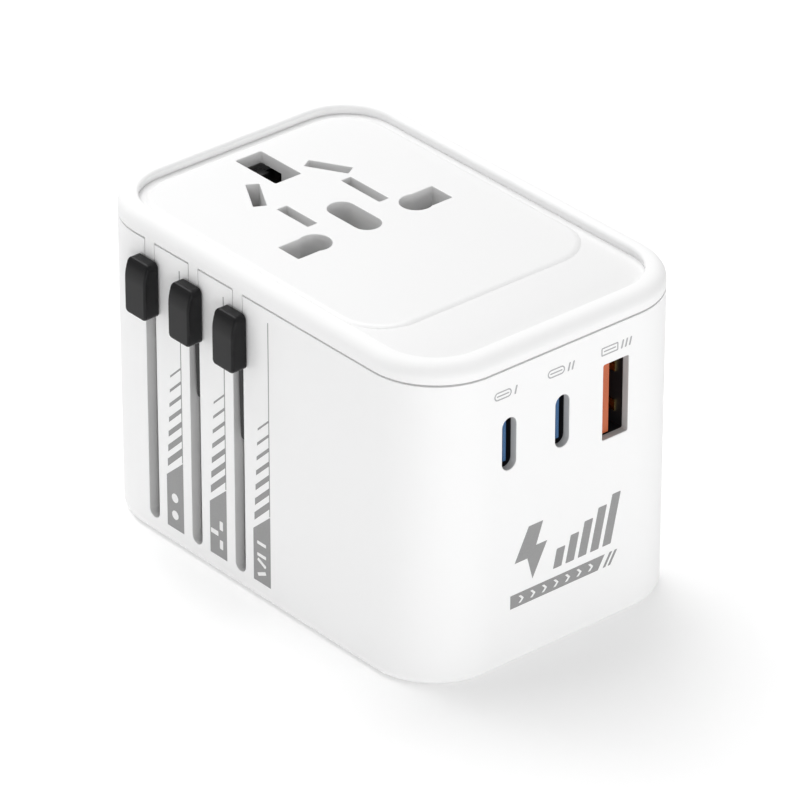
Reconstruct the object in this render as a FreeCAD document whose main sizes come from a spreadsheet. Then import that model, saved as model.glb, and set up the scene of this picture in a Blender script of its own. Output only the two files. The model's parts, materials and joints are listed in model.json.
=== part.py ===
import FreeCAD, Part
import math
import os
import Sketcher

# Universal travel adapter, in millimetres.  The origin is the centre of the flat
# underside, +Z points up to the socket face, the USB ports face -Y and the three
# plug sliders are on the -X side.  Every size below is a cell of the sheet.
SIZES = {
    # main shell
    "shell_width": 51.0,
    "shell_depth": 76.2,
    "top_height": 52.3,
    "corner_radius": 11.4,
    "wall": 1.8,
    "floor_thickness": 2.0,
    "bottom_round": 1.6,
    "fit_gap": 0.1,
    # top frame
    "cap_height": 3.1,
    "rim_width": 2.55,
    "rim_outer_round": 2.0,
    "rim_inner_round": 0.4,
    "skirt_depth": 1.8,
    "skirt_width": 1.9,
    "tongue_depth": 3.2,
    # socket plate and its raised pad
    "plate_gap": 0.15,
    "plate_drop": 1.5,
    "plate_thickness": 1.6,
    "well_depth": 3.3,
    "pad_rise": 0.35,
    "pad_margin": 1.4,
    "pad_front": 22.5,
    "pad_corner_radius": 7.5,
    "pad_round": 0.3,
    # socket openings
    "socket_x": -0.3,
    "round_hole_y": 4.8,
    "round_hole_x": 9.5,
    "round_hole_radius": 2.5,
    "flat_hole_reach": 14.45,
    "flat_hole_height": 4.55,
    "earth_hole_y": 26.95,
    "earth_hole_width": 4.85,
    "earth_hole_length": 9.25,
    "blade_hole_x": 6.38,
    "blade_hole_y": 12.6,
    "blade_hole_width": 1.8,
    "live_hole_length": 6.95,
    "neutral_hole_length": 8.6,
    "slant_hole_x": 6.82,
    "slant_hole_y": 21.4,
    "slant_hole_width": 2.0,
    "slant_hole_length": 6.85,
    "slant_angle": 30.0,
    "centre_hole_radius": 2.15,
    "centre_hole_low": 4.55,
    "centre_hole_high": 10.2,
    # USB openings
    "ports_drop": 12.2,
    "c_port_width": 2.6,
    "c_port_height": 8.4,
    "c_port_first_x": -10.2,
    "c_port_pitch": 9.9,
    "a_port_width": 4.8,
    "a_port_height": 12.3,
    "a_port_x": 9.75,
    "port_shell_wall": 0.35,
    "port_shell_length": 10.55,
    "port_seat_depth": 0.55,
    "tongue_recess": 1.1,
    "c_tongue_width": 0.7,
    "c_tongue_height": 6.6,
    "a_tongue_width": 1.85,
    "a_tongue_height": 11.6,
    "a_tongue_offset": 1.2,
    # slider slots, knobs and lock arms
    "slot_width": 2.3,
    "slot_first_y": 3.3,
    "slot_pitch": 10.0,
    "slot_bottom": 3.0,
    "knob_width": 4.8,
    "knob_gap": 0.3,
    "knob_thickness": 2.55,
    "knob_drop": 2.6,
    "knob_height": 8.9,
    "knob_brow_height": 3.6,
    "knob_brow_setback": 0.85,
    "knob_round": 0.45,
    "stem_width": 1.8,
    "stem_height": 5.8,
    "stem_rise": 1.6,
    "arm_width": 1.45,
    "arm_tip_width": 0.6,
    "arm_setback": 0.4,
    "uk_arm_length": 11.5,
    "us_arm_length": 14.1,
    # slider links and the guide wall behind the slots
    "channel_gap": 0.25,
    "link_thickness": 1.9,
    "link_width": 3.6,
    "link_side_gap": 1.4,
    "link_head_height": 8.4,
    "link_head_reach": 2.2,
    "guide_thickness": 1.2,
    "guide_window_gap": 0.2,
    "guide_margin": 2.3,
    # plug pins and their carriers
    "stop_gap": 0.3,
    "tip_recess": 1.0,
    "eu_pin_length": 19.0,
    "eu_pin_radius": 2.0,
    "eu_pin_x": 9.5,
    "eu_pin_y": 18.4,
    "eu_bar_width": 6.4,
    "eu_carrier_height": 3.6,
    "uk_earth_length": 22.7,
    "uk_pin_length": 17.7,
    "uk_pin_width": 6.35,
    "uk_pin_thickness": 4.0,
    "uk_pin_x": 11.1,
    "uk_pin_y": 5.2,
    "uk_earth_offset": 22.2,
    "uk_earth_depth": 8.0,
    "uk_earth_width": 4.0,
    "uk_bar_width": 6.0,
    "riser_gap": 0.2,
    "uk_carrier_height": 2.4,
    "sleeve_length": 9.0,
    "sleeve_wall": 0.3,
    "us_pin_length": 17.0,
    "us_blade_width": 6.35,
    "us_blade_thickness": 1.5,
    "us_pin_x": 6.35,
    "us_pin_y": -4.0,
    "us_bar_width": 9.2,
    "us_carrier_height": 4.0,
    "rotor_radius": 3.6,
    "rotor_fit": 0.05,
    "rotor_flange": 0.6,
    "rotor_flange_height": 0.9,
    "boss_margin": 1.5,
    "carrier_gap": 2.3,
    "tip_round": 0.9,
    "pin_hole_gap": 0.3,
    # plug plate in the floor
    "plug_plate_side": 16.9,
    "plug_plate_margin": 1.6,
    "plug_step": 0.8,
    # socket base, contacts and shutter
    "base_depth": 15.7,
    "base_plate_height": 1.0,
    "base_drop": 5.9,
    "base_wall": 1.0,
    "contact_leaf": 0.5,
    "contact_height": 13.0,
    "shutter_height": 1.9,
    "shutter_gap": 0.3,
    "shutter_rail_width": 2.4,
    "shutter_tab_depth": 3.6,
    "shutter_bar_depth": 3.0,
    "shutter_ramp_height": 1.4,
    "spring_radius": 1.1,
    "spring_wire": 0.2,
    "spring_pitch": 1.1,
    "spring_turns": 7,
    # boards and electronics
    "board_thickness": 1.6,
    "mains_board_bottom": 4.5,
    "divider_back": -14.2,
    "divider_thickness": 1.0,
    "transformer_width": 16.0,
    "transformer_depth": 13.0,
    "transformer_height": 14.5,
    "transformer_limb": 2.667,
    "capacitor_radius": 3.1,
    "capacitor_height": 15.0,
    "inductor_radius": 4.2,
    "inductor_height": 8.0,
    "inductor_setback": 1.8,
    "chip_width": 8.0,
    "chip_depth": 4.0,
    "chip_height": 1.0,
    "spreader_height": 10.0,
    "fin_gap": 0.8,
    "part_gap": 0.3,
    "strap_width": 3.0,
    "strap_thickness": 0.6,
    "fuse_radius": 2.6,
    "fuse_length": 20.0,
    "screw_radius": 1.0,
    "screw_head_radius": 1.8,
    "screw_head_height": 1.2,
    "screw_length": 7.0,
    "pillar_radius": 2.0,
    "pillar_side_inset": 2.9,
    "pillar_corner_inset": 6.1,
    "lug_depth": 1.2,
    "post_height": 3.0,
}

HALF = 0.5
QUARTER_TURN = 90.0
LEVEL_TOLERANCE = 1e-4
FACE_TOLERANCE = 1e-3


class Size:
    """A length that knows both its value and the sheet expression it comes from."""

    def __init__(self, text, value):
        self.text = text
        self.value = value

    def _join(self, sign, other, value):
        return Size(f"({self.text} {sign} {as_size(other).text})", value)

    def __add__(self, other):
        return self._join("+", other, self.value + as_size(other).value)

    def __sub__(self, other):
        return self._join("-", other, self.value - as_size(other).value)

    def __mul__(self, other):
        return self._join("*", other, self.value * as_size(other).value)

    def __truediv__(self, other):
        return self._join("/", other, self.value / as_size(other).value)

    def __neg__(self):
        return as_size(0) - self


def as_size(number):
    """Give a plain number the same two sides as a Size."""
    if isinstance(number, Size):
        return number
    return Size(repr(float(number)), float(number))


class Sheet:
    """The document's spreadsheet, with each alias readable as an attribute."""

    def __init__(self, document):
        self.cells = document.addObject("Spreadsheet::Sheet", "Sizes")
        for row, (alias, number) in enumerate(SIZES.items(), start=1):
            self.cells.set(f"A{row}", alias)
            self.cells.set(f"B{row}", str(number))
            self.cells.setAlias(f"B{row}", alias)
            setattr(self, alias, Size(f"Sizes.{alias}", float(number)))


document = FreeCAD.newDocument("travel_adapter")
s = Sheet(document)
document.recompute()
nodes = []


def keep(item, label):
    """Name an object of the document as one sub-part of the adapter."""
    item.Label = label
    nodes.append(item)
    return item


def bind(item, path, size):
    """Tie one property to the sheet."""
    item.setExpression(path, as_size(size).text)


# ---------------------------------------------------------------- sketches


def new_body(name):
    """Start an empty PartDesign body."""
    return document.addObject("PartDesign::Body", name)


def sketch_on(body, role, offset):
    """Attach a sketch to one of the body's own origin planes, moved along its normal."""
    sketch = body.newObject("Sketcher::SketchObject", f"{body.Name}_sketch")
    plane = next(item for item in body.Origin.OriginFeatures if item.Role == role)
    sketch.AttachmentSupport = [(plane, "")]
    sketch.MapMode = "FlatFace"
    bind(sketch, "AttachmentOffset.Base.z", offset)
    return sketch


def pin_down(sketch, index, position, across, up):
    """Fix one point of a sketch by its two distances from the origin."""
    for kind, size in (("DistanceX", across), ("DistanceY", up)):
        number = sketch.addConstraint(Sketcher.Constraint(kind, -1, 1, index, position, size.value))
        bind(sketch, f"Constraints[{number}]", size)


def set_radius(sketch, index, radius):
    """Fix the radius of a circle or an arc."""
    number = sketch.addConstraint(Sketcher.Constraint("Radius", index, radius.value))
    bind(sketch, f"Constraints[{number}]", radius)


def add_arc(sketch, across, up, radius, start, end):
    """Add an arc with its centre and radius fixed; angles are in quarter turns."""
    centre = FreeCAD.Vector(across.value, up.value, 0)
    circle = Part.Circle(centre, FreeCAD.Vector(0, 0, 1), radius.value)
    angles = (math.radians(start * QUARTER_TURN), math.radians(end * QUARTER_TURN))
    index = sketch.addGeometry(Part.ArcOfCircle(circle, *angles), False)
    pin_down(sketch, index, 3, across, up)
    set_radius(sketch, index, radius)
    for position, turns in ((1, start), (2, end)):
        kind = "Horizontal" if turns % 2 == 0 else "Vertical"
        sketch.addConstraint(Sketcher.Constraint(kind, index, 3, index, position))
    return index


def join_arcs(sketch, arcs):
    """Close a loop of arcs with straight lines between them."""
    for first, second in zip(arcs, arcs[1:] + arcs[:1]):
        start = sketch.getPoint(first, 2)
        end = sketch.getPoint(second, 1)
        line = sketch.addGeometry(Part.LineSegment(start, end), False)
        sketch.addConstraint(Sketcher.Constraint("Coincident", first, 2, line, 1))
        sketch.addConstraint(Sketcher.Constraint("Coincident", line, 2, second, 1))


def rounded_rectangle(sketch, left, right, low, high, radius):
    """Draw a rectangle with four round corners."""
    arcs = [
        add_arc(sketch, right - radius, low + radius, radius, 3, 4),
        add_arc(sketch, right - radius, high - radius, radius, 0, 1),
        add_arc(sketch, left + radius, high - radius, radius, 1, 2),
        add_arc(sketch, left + radius, low + radius, radius, 2, 3),
    ]
    join_arcs(sketch, arcs)


def stadium(sketch, across, low, high, radius):
    """Draw an upright slot with two half-round ends centred at low and high."""
    arcs = [
        add_arc(sketch, across, low, radius, 2, 4),
        add_arc(sketch, across, high, radius, 0, 2),
    ]
    join_arcs(sketch, arcs)


def polygon(sketch, corners):
    """Draw a closed outline through corners given as pairs of sizes."""
    count = len(corners)
    lines = []
    for index in range(count):
        start = corners[index]
        end = corners[(index + 1) % count]
        points = [FreeCAD.Vector(point[0].value, point[1].value, 0) for point in (start, end)]
        lines.append(sketch.addGeometry(Part.LineSegment(*points), False))
    for index, line in enumerate(lines):
        pin_down(sketch, line, 1, *corners[index])
        following = lines[(index + 1) % count]
        sketch.addConstraint(Sketcher.Constraint("Coincident", line, 2, following, 1))


def rectangle(sketch, left, right, low, high):
    """Draw a rectangle with square corners."""
    polygon(sketch, [(left, low), (right, low), (right, high), (left, high)])


def circle(sketch, across, up, radius):
    """Draw a circle."""
    centre = FreeCAD.Vector(across.value, up.value, 0)
    index = sketch.addGeometry(Part.Circle(centre, FreeCAD.Vector(0, 0, 1), radius.value), False)
    pin_down(sketch, index, 3, across, up)
    set_radius(sketch, index, radius)


# ---------------------------------------------------------------- features


def pad(body, sketch, length):
    """Pad a sketch along its normal."""
    feature = body.newObject("PartDesign::Pad", f"{body.Name}_pad")
    feature.Profile = sketch
    bind(feature, "Length", length)
    document.recompute()
    return feature


def pocket(body, sketch, length, reverse=False):
    """Cut a sketch out of the body and make sure that something went."""
    before = body.Shape.Volume
    feature = body.newObject("PartDesign::Pocket", f"{body.Name}_pocket")
    feature.Profile = sketch
    feature.Reversed = reverse
    bind(feature, "Length", length)
    document.recompute()
    if body.Shape.Volume >= before:
        raise RuntimeError(f"{feature.Name} cuts nothing")
    return feature


def fillet(body, radius, wanted):
    """Round the edges of the body's tip that the wanted function picks."""
    tip = body.Tip
    names = [f"Edge{i}" for i, edge in enumerate(tip.Shape.Edges, start=1) if wanted(edge)]
    if not names:
        raise RuntimeError(f"{body.Name} has no edge to round")
    feature = body.newObject("PartDesign::Fillet", f"{body.Name}_fillet")
    feature.Base = (tip, names)
    bind(feature, "Radius", radius)
    document.recompute()
    return feature


def at_height(edge, height):
    """Say whether the whole edge lies at one height."""
    box = edge.BoundBox
    return max(abs(box.ZMin - height), abs(box.ZMax - height)) < LEVEL_TOLERANCE


def block(left, right, front, back, low, high):
    """Make a box between six planes."""
    item = document.addObject("Part::Box", "block")
    for path, size in (
        ("Length", right - left),
        ("Width", back - front),
        ("Height", high - low),
        ("Placement.Base.x", left),
        ("Placement.Base.y", front),
        ("Placement.Base.z", low),
    ):
        bind(item, path, size)
    return item


def rod(across, along, low, radius, length, axis="Z"):
    """Make a cylinder that starts at a point and runs along X, Y or Z."""
    item = document.addObject("Part::Cylinder", "rod")
    turns = {
        "X": FreeCAD.Rotation(FreeCAD.Vector(0, 1, 0), QUARTER_TURN),
        "Y": FreeCAD.Rotation(FreeCAD.Vector(1, 0, 0), -QUARTER_TURN),
        "Z": FreeCAD.Rotation(),
    }
    item.Placement = FreeCAD.Placement(FreeCAD.Vector(0, 0, 0), turns[axis])
    for path, size in (
        ("Radius", radius),
        ("Height", length),
        ("Placement.Base.x", across),
        ("Placement.Base.y", along),
        ("Placement.Base.z", low),
    ):
        bind(item, path, size)
    return item


def fuse(*shapes):
    """Join shapes into one."""
    item = document.addObject("Part::MultiFuse", "joined")
    item.Shapes = list(shapes)
    item.Refine = True
    return item


def cut(base, *tools):
    """Take one or more shapes away from another."""
    item = document.addObject("Part::Cut", "trimmed")
    item.Base = base
    item.Tool = tools[0] if len(tools) == 1 else fuse(*tools)
    return item


def group(*shapes):
    """Keep separate solids together as one sub-part."""
    item = document.addObject("Part::Compound", "group")
    item.Links = list(shapes)
    return item


# ---------------------------------------------------------------- shared places

half_width = s.shell_width * HALF
half_depth = s.shell_depth * HALF
seam_height = s.top_height - s.cap_height
plate_top = s.top_height - s.plate_drop
ports_height = seam_height - s.ports_drop
knob_bottom = seam_height - s.knob_drop - s.knob_height
base_top = plate_top - s.base_drop
base_bottom = base_top - s.base_depth
inner_x = half_width - s.wall
inner_y = half_depth - s.wall
inner_radius = s.corner_radius - s.wall
rim_x = half_width - s.rim_width
rim_y = half_depth - s.rim_width
pad_top = plate_top + s.pad_rise
slots = {
    "us": s.slot_first_y,
    "uk": s.slot_first_y + s.slot_pitch,
    "eu": s.slot_first_y + s.slot_pitch * 2,
}
link_outer = -inner_x + s.channel_gap
link_inner = link_outer + s.link_thickness
guide_outer = link_inner + s.channel_gap
guide_inner = guide_outer + s.guide_thickness
bar_start = guide_inner + s.channel_gap
travels = {
    "eu": s.eu_pin_length + s.tip_recess,
    "uk": s.uk_earth_length + s.tip_recess,
    "us": s.us_pin_length + s.tip_recess,
}
carrier_heights = {"eu": s.eu_carrier_height, "uk": s.uk_carrier_height, "us": s.us_carrier_height}
carrier_bottoms = {name: s.floor_thickness + s.stop_gap + travel for name, travel in travels.items()}
carrier_tops = {name: carrier_bottoms[name] + carrier_heights[name] for name in travels}
uk_earth_y = s.uk_pin_y + s.uk_earth_offset
plug_front = s.us_pin_y - s.us_bar_width * HALF - s.plug_plate_margin * HALF
plug_back = uk_earth_y + s.uk_earth_depth * HALF + s.plug_plate_margin
port_front = -inner_y - s.port_seat_depth
port_back = port_front + s.port_shell_length
c_ports = {1: s.c_port_first_x, 2: s.c_port_first_x + s.c_port_pitch}
well_bottom = plate_top - s.well_depth
shutter_top = well_bottom - s.shutter_gap
shutter_bottom = shutter_top - s.shutter_height
strap_bottom = base_bottom + s.base_plate_height
divider_front = s.divider_back - s.divider_thickness
pillar_x = inner_x - s.pillar_side_inset
pillar_front = s.divider_back + s.pillar_side_inset
pillars = [
    (-pillar_x, pillar_front),
    (pillar_x, pillar_front),
    (-pillar_x, inner_y - s.pillar_corner_inset),
    (inner_x - s.pillar_radius, inner_y - s.pillar_corner_inset - s.pillar_radius * 2),
]
spring_x = s.flat_hole_reach + s.spring_radius + s.wall
spring_start = s.round_hole_y + s.shutter_tab_depth
spring_end = spring_start + s.spring_pitch * s.spring_turns + s.spring_wire * 2
board_side = inner_x - s.wall
board_front = -inner_y + s.corner_radius * HALF
board_top = s.mains_board_bottom + s.board_thickness
strap_x = s.fuse_length * HALF - s.wall - s.strap_width * HALF
contact_near = s.round_hole_y - s.uk_pin_thickness * HALF - s.contact_leaf

# ---------------------------------------------------------------- housing


def seat_port(body, centre, wide, tall):
    """Recess in the inside of the front wall that a USB receptacle sits in."""
    reach_x = wide * HALF + s.port_shell_wall + s.fit_gap
    reach_z = tall * HALF + s.port_shell_wall + s.fit_gap
    seat = sketch_on(body, "XZ_Plane", inner_y)
    rectangle(seat, centre - reach_x, centre + reach_x, ports_height - reach_z, ports_height + reach_z)
    pocket(body, seat, s.port_seat_depth, reverse=True)


def make_main_shell():
    """Rounded cup with slider slots, port openings and a window for the plug plate."""
    body = new_body("main_shell")
    outline = sketch_on(body, "XY_Plane", 0)
    rounded_rectangle(outline, -half_width, half_width, -half_depth, half_depth, s.corner_radius)
    pad(body, outline, seam_height)
    fillet(body, s.bottom_round, lambda edge: at_height(edge, 0))
    hollow = sketch_on(body, "XY_Plane", s.floor_thickness)
    rounded_rectangle(hollow, -inner_x, inner_x, -inner_y, inner_y, inner_radius)
    pocket(body, hollow, seam_height, reverse=True)
    for centre in slots.values():
        radius = s.slot_width * HALF
        slot = sketch_on(body, "YZ_Plane", -half_width)
        stadium(slot, centre, s.slot_bottom + radius, seam_height + s.slot_width, radius)
        pocket(body, slot, s.wall + s.fit_gap, reverse=True)
    for centre in c_ports.values():
        radius = s.c_port_width * HALF
        reach = s.c_port_height * HALF - radius
        port = sketch_on(body, "XZ_Plane", half_depth)
        stadium(port, centre, ports_height - reach, ports_height + reach, radius)
        pocket(body, port, s.wall + s.fit_gap)
    port = sketch_on(body, "XZ_Plane", half_depth)
    reach = s.a_port_height * HALF
    rectangle(
        port,
        s.a_port_x - s.a_port_width * HALF,
        s.a_port_x + s.a_port_width * HALF,
        ports_height - reach,
        ports_height + reach,
    )
    pocket(body, port, s.wall + s.fit_gap)
    for centre in c_ports.values():
        seat_port(body, centre, s.c_port_width, s.c_port_height)
    seat_port(body, s.a_port_x, s.a_port_width, s.a_port_height)
    side = s.plug_plate_side
    window = sketch_on(body, "XY_Plane", 0)
    rectangle(window, -side, side, plug_front, plug_back)
    pocket(body, window, s.floor_thickness * HALF, reverse=True)
    step = s.plug_step
    window = sketch_on(body, "XY_Plane", 0)
    rectangle(window, -side + step, side - step, plug_front + step, plug_back - step)
    pocket(body, window, s.floor_thickness, reverse=True)
    for across, along in pillars:
        pillar = sketch_on(body, "XY_Plane", s.floor_thickness * HALF)
        circle(pillar, across, along, s.pillar_radius)
        pad(body, pillar, base_bottom - s.floor_thickness * HALF)
        bore = sketch_on(body, "XY_Plane", base_bottom)
        circle(bore, across, along, s.screw_radius)
        pocket(body, bore, s.screw_length)
    return keep(body, "main_shell")


def make_top_frame():
    """Rim that closes the shell, with a skirt inside it and a tongue into each slot."""
    body = new_body("top_frame")
    outline = sketch_on(body, "XY_Plane", seam_height)
    rounded_rectangle(outline, -half_width, half_width, -half_depth, half_depth, s.corner_radius)
    pad(body, outline, s.top_height - seam_height)
    opening = sketch_on(body, "XY_Plane", s.top_height)
    inner = s.corner_radius - s.rim_width
    rounded_rectangle(opening, -rim_x, rim_x, -rim_y, rim_y, inner)
    pocket(body, opening, s.top_height - seam_height)
    top = [edge for edge in body.Shape.Edges if at_height(edge, s.top_height.value)]
    reach = max(edge.BoundBox.XMax for edge in top)

    def is_outer(edge):
        box = edge.BoundBox
        across = max(abs(box.XMin), abs(box.XMax)) > reach - FACE_TOLERANCE
        along = max(abs(box.YMin), abs(box.YMax)) > half_depth.value - FACE_TOLERANCE
        return at_height(edge, s.top_height.value) and (across or along)

    fillet(body, s.rim_outer_round, is_outer)
    inner_reach = rim_x.value + FACE_TOLERANCE
    inner_depth = rim_y.value + FACE_TOLERANCE
    fillet(
        body,
        s.rim_inner_round,
        lambda edge: at_height(edge, s.top_height.value)
        and max(abs(edge.BoundBox.XMin), abs(edge.BoundBox.XMax)) < inner_reach
        and max(abs(edge.BoundBox.YMin), abs(edge.BoundBox.YMax)) < inner_depth,
    )
    skirt = sketch_on(body, "XY_Plane", seam_height - s.skirt_depth)
    outer_x = inner_x - s.fit_gap
    outer_y = inner_y - s.fit_gap
    radius = inner_radius - s.fit_gap
    rounded_rectangle(skirt, -outer_x, outer_x, -outer_y, outer_y, radius)
    lip_x = outer_x - s.skirt_width
    lip_y = outer_y - s.skirt_width
    rounded_rectangle(skirt, -lip_x, lip_x, -lip_y, lip_y, radius - s.skirt_width)
    pad(body, skirt, s.skirt_depth)
    for centre in slots.values():
        reach = s.slot_width * HALF - s.fit_gap * HALF
        tongue = sketch_on(body, "YZ_Plane", -half_width)
        rectangle(tongue, centre - reach, centre + reach, seam_height - s.tongue_depth, seam_height)
        pad(body, tongue, s.wall + s.fit_gap)
    return keep(body, "top_frame")


def slanted_corners(side):
    """Corners of one slanted blade opening, leaning towards the earth opening."""
    centre = (s.socket_x + s.slant_hole_x * side, s.slant_hole_y)
    lean = s.slant_angle * side
    angle = math.radians(lean.value)
    along = (-math.sin(angle), math.cos(angle))
    across = (math.cos(angle), math.sin(angle))
    corners = []
    for run, reach in ((-HALF, -HALF), (HALF, -HALF), (HALF, HALF), (-HALF, HALF)):
        wide = s.slant_hole_width * run
        long = s.slant_hole_length * reach
        corners.append(
            tuple(centre[i] + wide * across[i] + long * along[i] for i in (0, 1))
        )
    return corners


def make_socket_plate():
    """Plate with a raised pad and the openings for four kinds of plug."""
    body = new_body("socket_plate")
    plate_x = rim_x - s.plate_gap
    plate_y = rim_y - s.plate_gap
    radius = s.corner_radius - s.rim_width - s.plate_gap
    plate = sketch_on(body, "XY_Plane", plate_top - s.plate_thickness)
    rounded_rectangle(plate, -plate_x, plate_x, -plate_y, plate_y, radius)
    pad(body, plate, s.plate_thickness)
    raised = sketch_on(body, "XY_Plane", plate_top)
    pad_x = plate_x - s.pad_margin
    rounded_rectangle(
        raised, -pad_x, pad_x, -s.pad_front, plate_y - s.pad_margin, s.pad_corner_radius
    )
    pad(body, raised, s.pad_rise)
    fillet(body, s.pad_round, lambda edge: at_height(edge, pad_top.value))
    wells = sketch_on(body, "XY_Plane", well_bottom)
    well_x = s.flat_hole_reach + s.wall
    rectangle(wells, -well_x, well_x, s.centre_hole_low - s.wall * 2, s.earth_hole_y)
    pad(body, wells, s.well_depth - s.plate_thickness)
    depth = s.well_depth + s.pad_rise + s.fit_gap
    for side in (-1, 1):
        hole = sketch_on(body, "XY_Plane", pad_top)
        circle(hole, s.socket_x + s.round_hole_x * side, s.round_hole_y, s.round_hole_radius)
        pocket(body, hole, depth)
        hole = sketch_on(body, "XY_Plane", pad_top)
        near = s.socket_x + s.round_hole_x * side
        far = s.socket_x + s.flat_hole_reach * side
        reach = s.flat_hole_height * HALF
        low, high = (near, far) if side > 0 else (far, near)
        rectangle(hole, low, high, s.round_hole_y - reach, s.round_hole_y + reach)
        pocket(body, hole, depth)
        hole = sketch_on(body, "XY_Plane", pad_top)
        reach = (s.neutral_hole_length if side > 0 else s.live_hole_length) * HALF
        middle = s.socket_x + s.blade_hole_x * side
        half_blade = s.blade_hole_width * HALF
        rectangle(
            hole,
            middle - half_blade,
            middle + half_blade,
            s.blade_hole_y - reach,
            s.blade_hole_y + reach,
        )
        pocket(body, hole, depth)
        hole = sketch_on(body, "XY_Plane", pad_top)
        polygon(hole, slanted_corners(side))
        pocket(body, hole, depth)
    hole = sketch_on(body, "XY_Plane", pad_top)
    reach = s.earth_hole_width * HALF
    rectangle(
        hole,
        s.socket_x - reach,
        s.socket_x + reach,
        s.earth_hole_y - s.earth_hole_length * HALF,
        s.earth_hole_y + s.earth_hole_length * HALF,
    )
    pocket(body, hole, depth)
    hole = sketch_on(body, "XY_Plane", pad_top)
    stadium(hole, s.socket_x, s.centre_hole_low, s.centre_hole_high, s.centre_hole_radius)
    pocket(body, hole, depth)
    return keep(body, "socket_plate")


def make_plug_plate():
    """Stepped plate in the floor with a hole for each pin."""
    body = new_body("plug_plate")
    gap = s.fit_gap
    side = s.plug_plate_side - gap
    lower = sketch_on(body, "XY_Plane", 0)
    rectangle(lower, -side, side, plug_front + gap, plug_back - gap)
    pad(body, lower, s.floor_thickness * HALF)
    step = s.plug_step
    upper = sketch_on(body, "XY_Plane", s.floor_thickness * HALF)
    rectangle(upper, -side + step, side - step, plug_front + gap + step, plug_back - gap - step)
    pad(body, upper, s.floor_thickness * HALF)
    depth = s.floor_thickness + gap
    for side in (-1, 1):
        hole = sketch_on(body, "XY_Plane", s.floor_thickness)
        circle(hole, s.eu_pin_x * side, s.eu_pin_y, s.eu_pin_radius + s.pin_hole_gap)
        pocket(body, hole, depth)
        hole = sketch_on(body, "XY_Plane", s.floor_thickness)
        circle(hole, s.us_pin_x * side, s.us_pin_y, s.rotor_radius)
        pocket(body, hole, depth)
        hole = sketch_on(body, "XY_Plane", s.floor_thickness)
        wide = s.uk_pin_width * HALF + s.pin_hole_gap
        deep = s.uk_pin_thickness * HALF + s.pin_hole_gap
        middle = s.uk_pin_x * side
        rectangle(hole, middle - wide, middle + wide, s.uk_pin_y - deep, s.uk_pin_y + deep)
        pocket(body, hole, depth)
    hole = sketch_on(body, "XY_Plane", s.floor_thickness)
    wide = s.uk_earth_width * HALF + s.pin_hole_gap
    deep = s.uk_earth_depth * HALF + s.pin_hole_gap
    rectangle(hole, -wide, wide, uk_earth_y - deep, uk_earth_y + deep)
    pocket(body, hole, depth)
    return keep(body, "plug_plate")


# ---------------------------------------------------------------- sliders


def make_knob(name):
    """Thumb knob with a brow that leans back and a stem through the slot."""
    centre = slots[name]
    body = new_body(f"{name}_knob")
    back = -half_width - s.knob_gap
    front = back - s.knob_thickness
    top = knob_bottom + s.knob_height
    side = sketch_on(body, "XZ_Plane", -centre - s.knob_width * HALF)
    polygon(
        side,
        [
            (back, knob_bottom),
            (back, top),
            (front + s.knob_brow_setback, top),
            (front, top - s.knob_brow_height),
            (front, knob_bottom),
        ],
    )
    pad(body, side, s.knob_width)
    edge_limit = back.value - s.knob_thickness.value * HALF
    fillet(body, s.knob_round, lambda edge: edge.BoundBox.XMax < edge_limit)
    stem_low = knob_bottom + s.stem_rise
    reach = s.stem_width * HALF
    stem = sketch_on(body, "YZ_Plane", back)
    rectangle(stem, centre - reach, centre + reach, stem_low, stem_low + s.stem_height)
    pad(body, stem, link_inner - back)
    return keep(body, f"{name}_knob")


def make_lock_arm(name, length):
    """Black strip in the slot under a knob, narrowing to its tip."""
    right = slots[name] - s.slot_width * HALF + s.fit_gap
    top = knob_bottom + s.stem_rise
    body = new_body(f"{name}_lock_arm")
    outline = sketch_on(body, "YZ_Plane", -half_width + s.arm_setback)
    polygon(
        outline,
        [
            (right, top - length),
            (right + s.arm_tip_width, top - length),
            (right + s.arm_width, top - length * HALF),
            (right + s.arm_width, top),
            (right, top),
        ],
    )
    pad(body, outline, s.wall - s.arm_setback + s.channel_gap)
    return keep(body, f"{name}_lock_arm")


def make_link(name):
    """Upright strip behind the wall that carries a knob at its head."""
    centre = slots[name]
    near = centre - s.link_side_gap
    far = near - s.link_width
    head_top = knob_bottom + s.link_head_height
    head_low = knob_bottom + s.stem_rise * HALF
    reach = s.stem_width * HALF + s.rotor_fit
    stem_low = knob_bottom + s.stem_rise - s.rotor_fit
    return cut(
        fuse(
            block(link_outer, link_inner, far, near, carrier_bottoms[name], head_top),
            block(link_outer, link_inner, far, centre + s.link_head_reach, head_low, head_top),
            block(link_inner, bar_start, far, near, carrier_bottoms[name], carrier_tops[name]),
        ),
        block(
            link_outer,
            link_inner,
            centre - reach,
            centre + reach,
            stem_low,
            stem_low + s.stem_height + s.rotor_fit * 2,
        ),
    )


def make_eu_carrier():
    """Bar that carries the two round pins."""
    low = carrier_bottoms["eu"]
    top = carrier_tops["eu"]
    front = s.eu_pin_y - s.eu_bar_width * HALF
    back = s.eu_pin_y + s.eu_bar_width * HALF
    end = s.eu_pin_x + s.eu_pin_radius + s.boss_margin
    bar = block(bar_start, end, front, back, low, top)
    link_far = slots["eu"] - s.link_side_gap - s.link_width
    shoulder = block(bar_start, -s.eu_pin_x, front, link_far + s.eu_pin_radius, low, top)
    pins = []
    for side in (-1, 1):
        pins.append(rod(s.eu_pin_x * side, s.eu_pin_y, low, s.eu_pin_radius, top - low))
    return keep(cut(fuse(make_link("eu"), bar, shoulder), *pins), "eu_carrier")


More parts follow.
